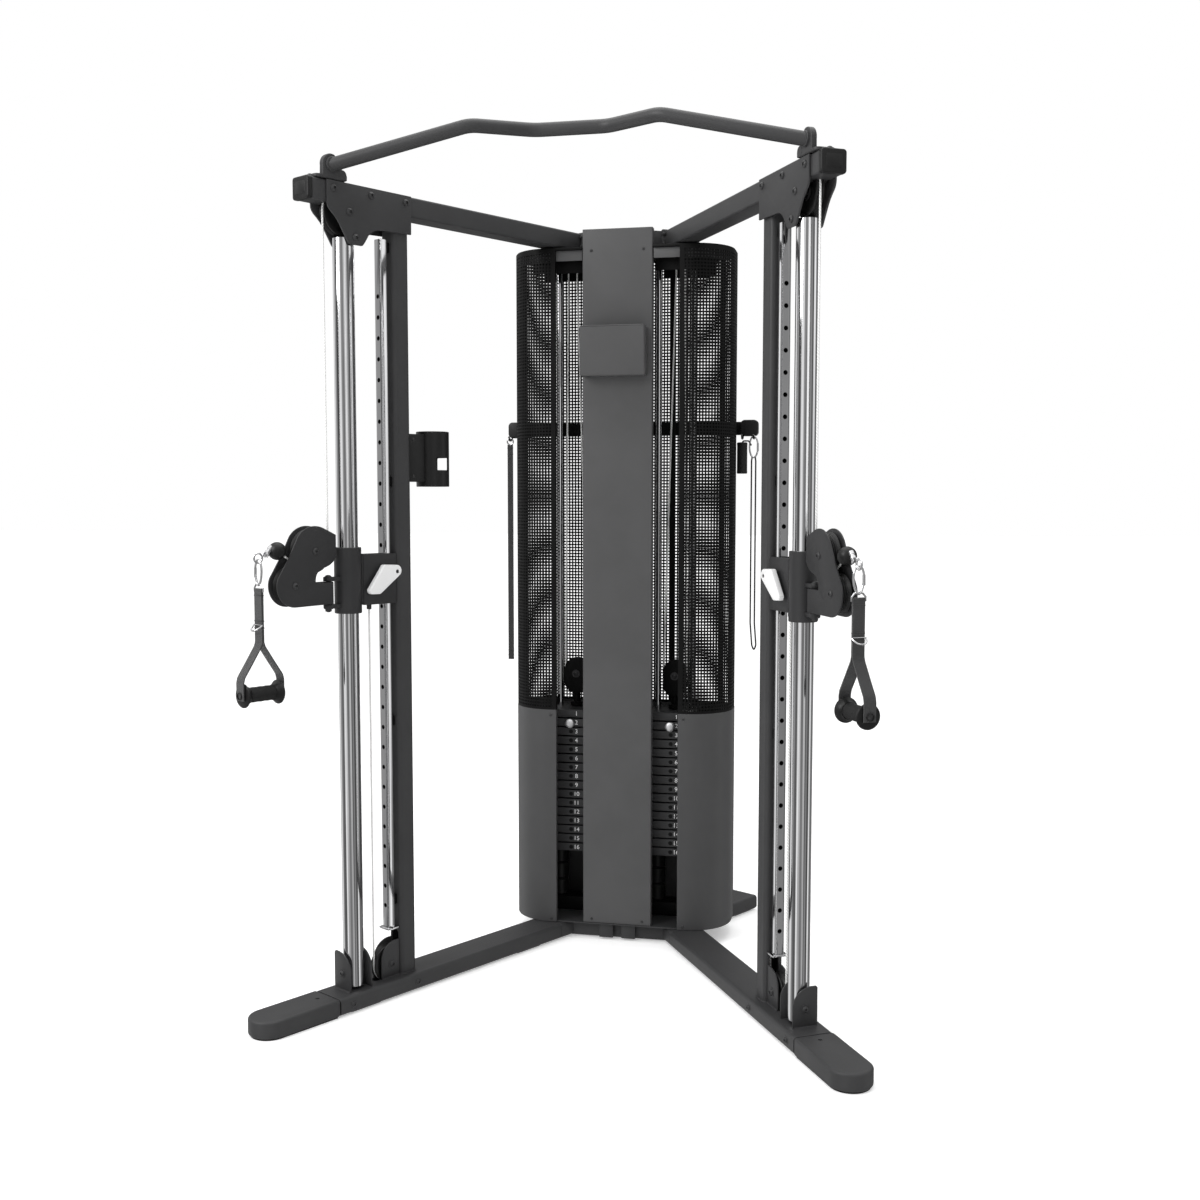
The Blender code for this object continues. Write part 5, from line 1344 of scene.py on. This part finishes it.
def cables(name, side):
    place, lift, ride_on = arm(side), f"stack_{name}", f"carriage_{name}"
    outer, inner = STACK_X + MOVING_PATH, STACK_X - MOVING_PATH
    t, v, _ = to_arm(PORT_OUTER, STACK_Y, 0)
    front, behind = FOOT_T + FOOT_PATH, FOOT_T - FOOT_PATH
    low_end = (front, 0, CARRIAGE_Z - 0.0745)
    stretch(
        f"cable_low_run_{name}", [low_end, (front, 0, FOOT_Z)], place,
        blend=(ride_on, "frame", low_end, (front, 0, FOOT_Z + 0.001))
    )
    route = wrap((FOOT_T, FOOT_Z), FOOT_PATH, 0, -180, 36)
    route += wrap((behind - 0.03, 1.933), 0.03, 0, 90, 12)
    route += [
        (0.33, 0.006, 1.963), (0.29, 0.012, 1.962), (0.278, 0.026, 1.962), (t, v - 0.004, 1.959),
        (t, v, 1.952)
    ]
    stretch(f"cable_foot_{name}", route, place, stands_for=(f"cable_{name}",))
    for label, high, x in (
        ("outer", (t, v, 1.952), outer), ("inner", to_arm(PORT_INNER, STACK_Y, 1.952), inner)
    ):
        low = to_arm(x, STACK_Y, MOVING_Z)
        stretch(
            f"cable_stack_{label}_{name}", [high, low], place,
            blend=("frame", lift, high, to_arm(x, STACK_Y, MOVING_Z + 0.001))
        )
    bend = [to_arm(x, STACK_Y, z) for x, z in arc((STACK_X, MOVING_Z), MOVING_PATH, 0, -180, 36)]
    stretch(f"cable_stack_bend_{name}", bend, place, lift)
    route = [
        to_arm(PORT_INNER, STACK_Y, 1.952), to_arm(PORT_INNER, STACK_Y, 1.96),
        to_arm(PORT_INNER + 0.003, STACK_Y - 0.004, 1.972)
    ]
    route += [
        (0.26, -0.006, 1.985), (0.33, -0.003, TOP_Z + TOP_PATH)
    ] + wrap((TOP_T, TOP_Z), TOP_PATH, 90, 0, 20)
    stretch(f"cable_top_{name}", route, place)
    run = [(HINGE_T, 0, TOP_Z), (HINGE_T, 0, UPPER_Z)]
    stretch(f"cable_down_{name}", run, place, blend=("frame", ride_on, run[0], (HINGE_T, 0, UPPER_Z + 0.001)))
    nip = nip_point()
    route = wrap((UPPER_T, UPPER_Z), UPPER_PATH, 180, 270 + math.degrees(PULL_ANGLE), 30)
    stretch(f"cable_swivel_{name}", route, place, f"swivel_{name}", (f"swivel_cable_{name}",))
    end = BALL_AWAY - BALL_R + 0.002
    ball_end = (nip[0] + end * math.cos(PULL_ANGLE), 0, nip[1] + end * math.sin(PULL_ANGLE))
    start = (nip[0] + 0.0005 * math.cos(PULL_ANGLE), 0, nip[1] + 0.0005 * math.sin(PULL_ANGLE))
    stretch(
        f"cable_out_{name}", [(nip[0], 0, nip[1]), ball_end], place,
        blend=(f"swivel_{name}", f"ball_{name}", start, ball_end)
    )


# ---- accessories ----
def bottle_holder():
    place = arm(-1)
    t, z0, z1 = 0.823, 1.288, 1.428
    wall = hollow_rod((t, 0, z0), (t, 0, z1), 0.0376, 0.042, 72, 0.0012)
    windows = [
        box((t - 0.06, t + 0.01), (-0.022, 0.022), (1.33, 1.362), 0.003, 3),
        box((t - 0.02, t + 0.02), (-0.06, 0.06), (1.33, 1.362), 0.003, 3),
        box((t - 0.06, t), (-0.009, 0.009), (1.39, 1.44), 0.003, 3),
    ]
    shell = carve(wall, *windows)
    bottom = rod((t, 0, z0), (t, 0, z0 + 0.004), 0.0385, 48, 0.0006)
    back = UPRIGHT_T - UPRIGHT_HALF - 0.0004
    bracket = prism(rounded((t + 0.0385, -0.016), (back, 0.016), 0.003, 3), "z", 1.3, 1.42, 0.0016, 2)
    piece("bottle_cup", [shell, bottom, bracket], place, PLASTIC, stands_for=("bottle_holder",))
    screws = []
    for z in (1.314, 1.406):
        screws += bolt((back - 0.015, -0.016, z), (0, -1, 0), 0.0042, 0.0022, 0)
    piece("bottle_screws", screws, place, BOLTS)


def rack():
    y0 = TOWER_REAR + 0.0004
    bar = prism(rounded((-0.36, 1.44), (0.36, 1.478), 0.003, 3), "y", y0, y0 + 0.008, 0.0008)
    piece("rack_bar", [bar], tower(), BLACK, stands_for=("accessory_bar",))
    for name, side in SIDES.items():
        block = prism(rounded((0.32, 1.436), (0.37, 1.482), 0.012, 6), "y", y0 - 0.03, y0 + 0.003, 0.003, 3)
        shapes = [block]
        for x in HOOK_X:
            hook = [
                (x, y0 - 0.02, HOOK_Z + 0.008), (x, HOOK_Y + 0.008, HOOK_Z), (x, HOOK_Y - 0.006, HOOK_Z),
                (x, HOOK_Y - 0.014, HOOK_Z + 0.01)
            ]
            shapes.append(tube(fillet(hook, 0.006, 5), 0.0028, 14))
        piece(f"rack_hooks_{name}", shapes, tower(side), PLASTIC)
    screws = []
    for x in (0.345, -0.345):
        screws += bolt((x, y0 + 0.008, 1.459), (0, 1, 0), 0.006, 0.0036)
    piece("rack_bolts", screws, tower(), BOLTS)


def hanging():
    place = tower()
    x = -HOOK_X[1]
    ring = tube(
        oval((x, HOOK_Y, HOOK_Z - 0.0035), 0.009, 0.009, ((1, 0, 0), (0, 0, 1))), 0.002, 14, (0, 1, 0)
    )
    piece("strap_ring", [ring], place, CHROME)
    strap = tube(
        [(x, HOOK_Y, 1.4155), (x, HOOK_Y, 1.38), (x, HOOK_Y, 1.1), (x, HOOK_Y, 0.777)], 0, 10, None,
        (0.008, 0.002, (1, 0, 0))
    )
    cuffs = [
        box((x - 0.0084, x + 0.0084), (HOOK_Y - 0.0026, HOOK_Y + 0.0026), (z - 0.0018, z + 0.0018), 0.0006)
        for z in (1.406, 1.388, 0.79, 0.804)
    ]
    piece("strap_webbing", [strap, *cuffs], place, WEBBING, stands_for=("hanging_strap",))
    x, y, top = HOOK_X[1], HOOK_Y, HOOK_Z + 0.006
    clip = tube(oval((x, y, top - 0.03), 0.012, 0.03, ((1, 0, 0), (0, 0, 1)), 40), 0.0024, 14, (0, 1, 0))
    gate = tube([(x + 0.0116, y, top - 0.02), (x + 0.0116, y, top - 0.042)], 0.0031, 12)
    piece("spare_clip", [clip, gate], place, CHROME)
    sleeve_x = HOOK_X[0]
    profile = [(0.0, 0.0), (0.013, 0.0), (0.0148, 0.0016), (0.015, 0.004)]
    profile += [
        (0.0146, 0.01), (0.0146, 0.078), (0.015, 0.085), (0.0146, 0.088), (0.012, 0.089), (0.0, 0.089)
    ]
    piece(
        "spare_sleeve", [lathe(profile, (sleeve_x, y, 1.328), (0, 0, 1), 48)], place, FOAM,
        stands_for=("hanging_handle",)
    )
    tie = [
        (sleeve_x, y, 1.412), (sleeve_x + 0.002, y, 1.421), (x - 0.014, y, 1.421),
        (x - 0.007, y, top - 0.026)
    ]
    loop = [(x - 0.004, y, top - 0.056), (x - 0.006, y, top - 0.07), (x - 0.006, y, 0.9)]
    loop += [(x - 0.001, y, 0.835), (x + 0.005, y, 0.82), (x + 0.011, y, 0.835)]
    loop += [(x + 0.006, y, 0.9), (x + 0.006, y, top - 0.07), (x + 0.004, y, top - 0.056)]
    cord = [tube(fillet(tie, 0.006, 5), 0.0022, 12), tube(fillet(loop, 0.02, 6), 0.0022, 12)]
    piece("spare_cord", cord, place, PLASTIC)


# ---- stage ----
# grey level of the room at each compass angle, which gives chrome its upright bands
ROOM = (
    (-180, 0.26), (-150, 0.12), (-134, 0.5), (-116, 0.95), (-100, 0.8), (-93, 0.42), (-74, 0.34), (-64, 0.1),
    (-52, 0.08), (-44, 0.7), (-30, 1.15), (-20, 0.7), (-12, 0.3), (4, 0.26), (12, 0.16), (20, 0.5), (32, 0.62),
    (38, 0.12), (46, 0.1), (52, 0.24), (64, 0.28), (70, 0.08), (80, 0.1), (88, 0.85), (104, 1.0), (112, 0.26),
    (138, 0.18), (158, 0.36),
)


def studio():
    world = bpy.data.worlds.new("studio")
    world.use_nodes = True
    tree = world.node_tree
    place = node(tree, "TexCoord", {}).outputs["Generated"]
    parts = node(tree, "SeparateXYZ", {"Vector": place}).outputs
    turn = math_node(tree, "ARCTAN2", parts["X"], math_node(tree, "MULTIPLY", parts["Y"], -1.0))
    share = remap(tree, turn, 0, 1, -math.pi, math.pi)
    swing = remap(tree, noise(tree, place, 2.2, 2.0), -0.022, 0.022)
    ramp = node(tree, "ValToRGB", {"Fac": math_node(tree, "ADD", share, swing)})
    elements = ramp.color_ramp.elements
    for i, (angle, level) in enumerate(ROOM):
        spot = (angle + 180) / 360
        element = elements[i] if i < 2 else elements.new(spot)
        element.position, element.color = spot, (level, level, level, 1)
    cloud = remap(tree, noise(tree, place, 3.1, 2.0), 0.7, 1.25, 0.35, 0.65)
    walls = mix_colours(tree, 1.0, ramp.outputs["Color"], cloud, "MULTIPLY")
    room = mix_colours(tree, remap(tree, parts["Z"], 0, 1, 0.35, 0.75), walls, (1.15, 1.15, 1.15, 1))
    camera_ray = node(tree, "LightPath", {}).outputs["Is Camera Ray"]
    seen = mix_colours(tree, camera_ray, room, (1, 1, 1, 1))
    tree.links.new(seen, tree.nodes["Background"].inputs["Color"])
    return world


def stage():
    scene = bpy.context.scene
    scene.view_settings.view_transform = "Standard"
    camera = bpy.data.objects.new("camera", bpy.data.cameras.new("camera"))
    camera.data.lens, camera.data.sensor_width = 40.13, 36.0
    camera.location = (0.7204, -4.0062 + APEX_Y, 1.2639)
    camera.rotation_euler = (math.pi / 2 - 0.0775, 0, 0.2072)
    scene.collection.objects.link(camera)
    scene.camera = camera

    material, tree, shader = base_material("pale_floor", (0.88, 0.88, 0.88), 0.9)
    dust = noise(tree, coordinates(tree), 3.0)
    tree.links.new(
        tint(tree, dust, (0.875, 0.875, 0.875), (0.885, 0.885, 0.885)), shader.inputs["Base Color"]
    )
    shader.inputs["Emission Color"].default_value = (1, 1, 1, 1)
    shader.inputs["Emission Strength"].default_value = 0.34
    glossy = node(tree, "LightPath", {}).outputs["Is Glossy Ray"]
    clear = node(tree, "BsdfTransparent", {}).outputs["BSDF"]
    either = node(tree, "MixShader", {0: glossy, 1: shader.outputs["BSDF"], 2: clear})
    tree.links.new(either.outputs["Shader"], tree.nodes["Material Output"].inputs["Surface"])
    mesh = bpy.data.meshes.new("floor")
    size = 40
    mesh.from_pydata(
        [(-size, -size, 0), (size, -size, 0), (size, size, 0), (-size, size, 0)], [], [(0, 1, 2, 3)]
    )
    mesh.materials.append(material)
    floor = bpy.data.objects.new("floor", mesh)
    scene.collection.objects.link(floor)

    scene.world = studio()
    for label, place, aim, size, watts in (
        ("key", (-3.0, -3.2, 3.4), (0, -0.2, 0.9), (2.0, 2.4), 120),
        ("fill", (2.2, -3.6, 2.4), (0, -0.2, 1.0), (1.6, 2.6), 8),
        ("top", (0.0, 0.2, 4.6), (0, 0, 0), (3.4, 3.4), 60),
    ):
        light = bpy.data.lights.new(label, "AREA")
        light.shape, light.size, light.size_y, light.energy = "RECTANGLE", size[0], size[1], watts
        lamp = bpy.data.objects.new(label, light)
        lamp.location = place
        lamp.rotation_euler = (Vector(aim) - Vector(place)).to_track_quat("-Z", "Y").to_euler()
        scene.collection.objects.link(lamp)


for build in (stage, base, pull_up_bar, guards, panel, head, media_holder, bottle_holder, rack, hanging):
    build()
for name, side in SIDES.items():
    for build in (front_leg, foot, upright, rail, post, beam, gusset, weights, rods, pulleys):
        build(name, side)
    for build in (carriage, lever, swivel, stop_ball, handle, grip, cables):
        build(name, side)
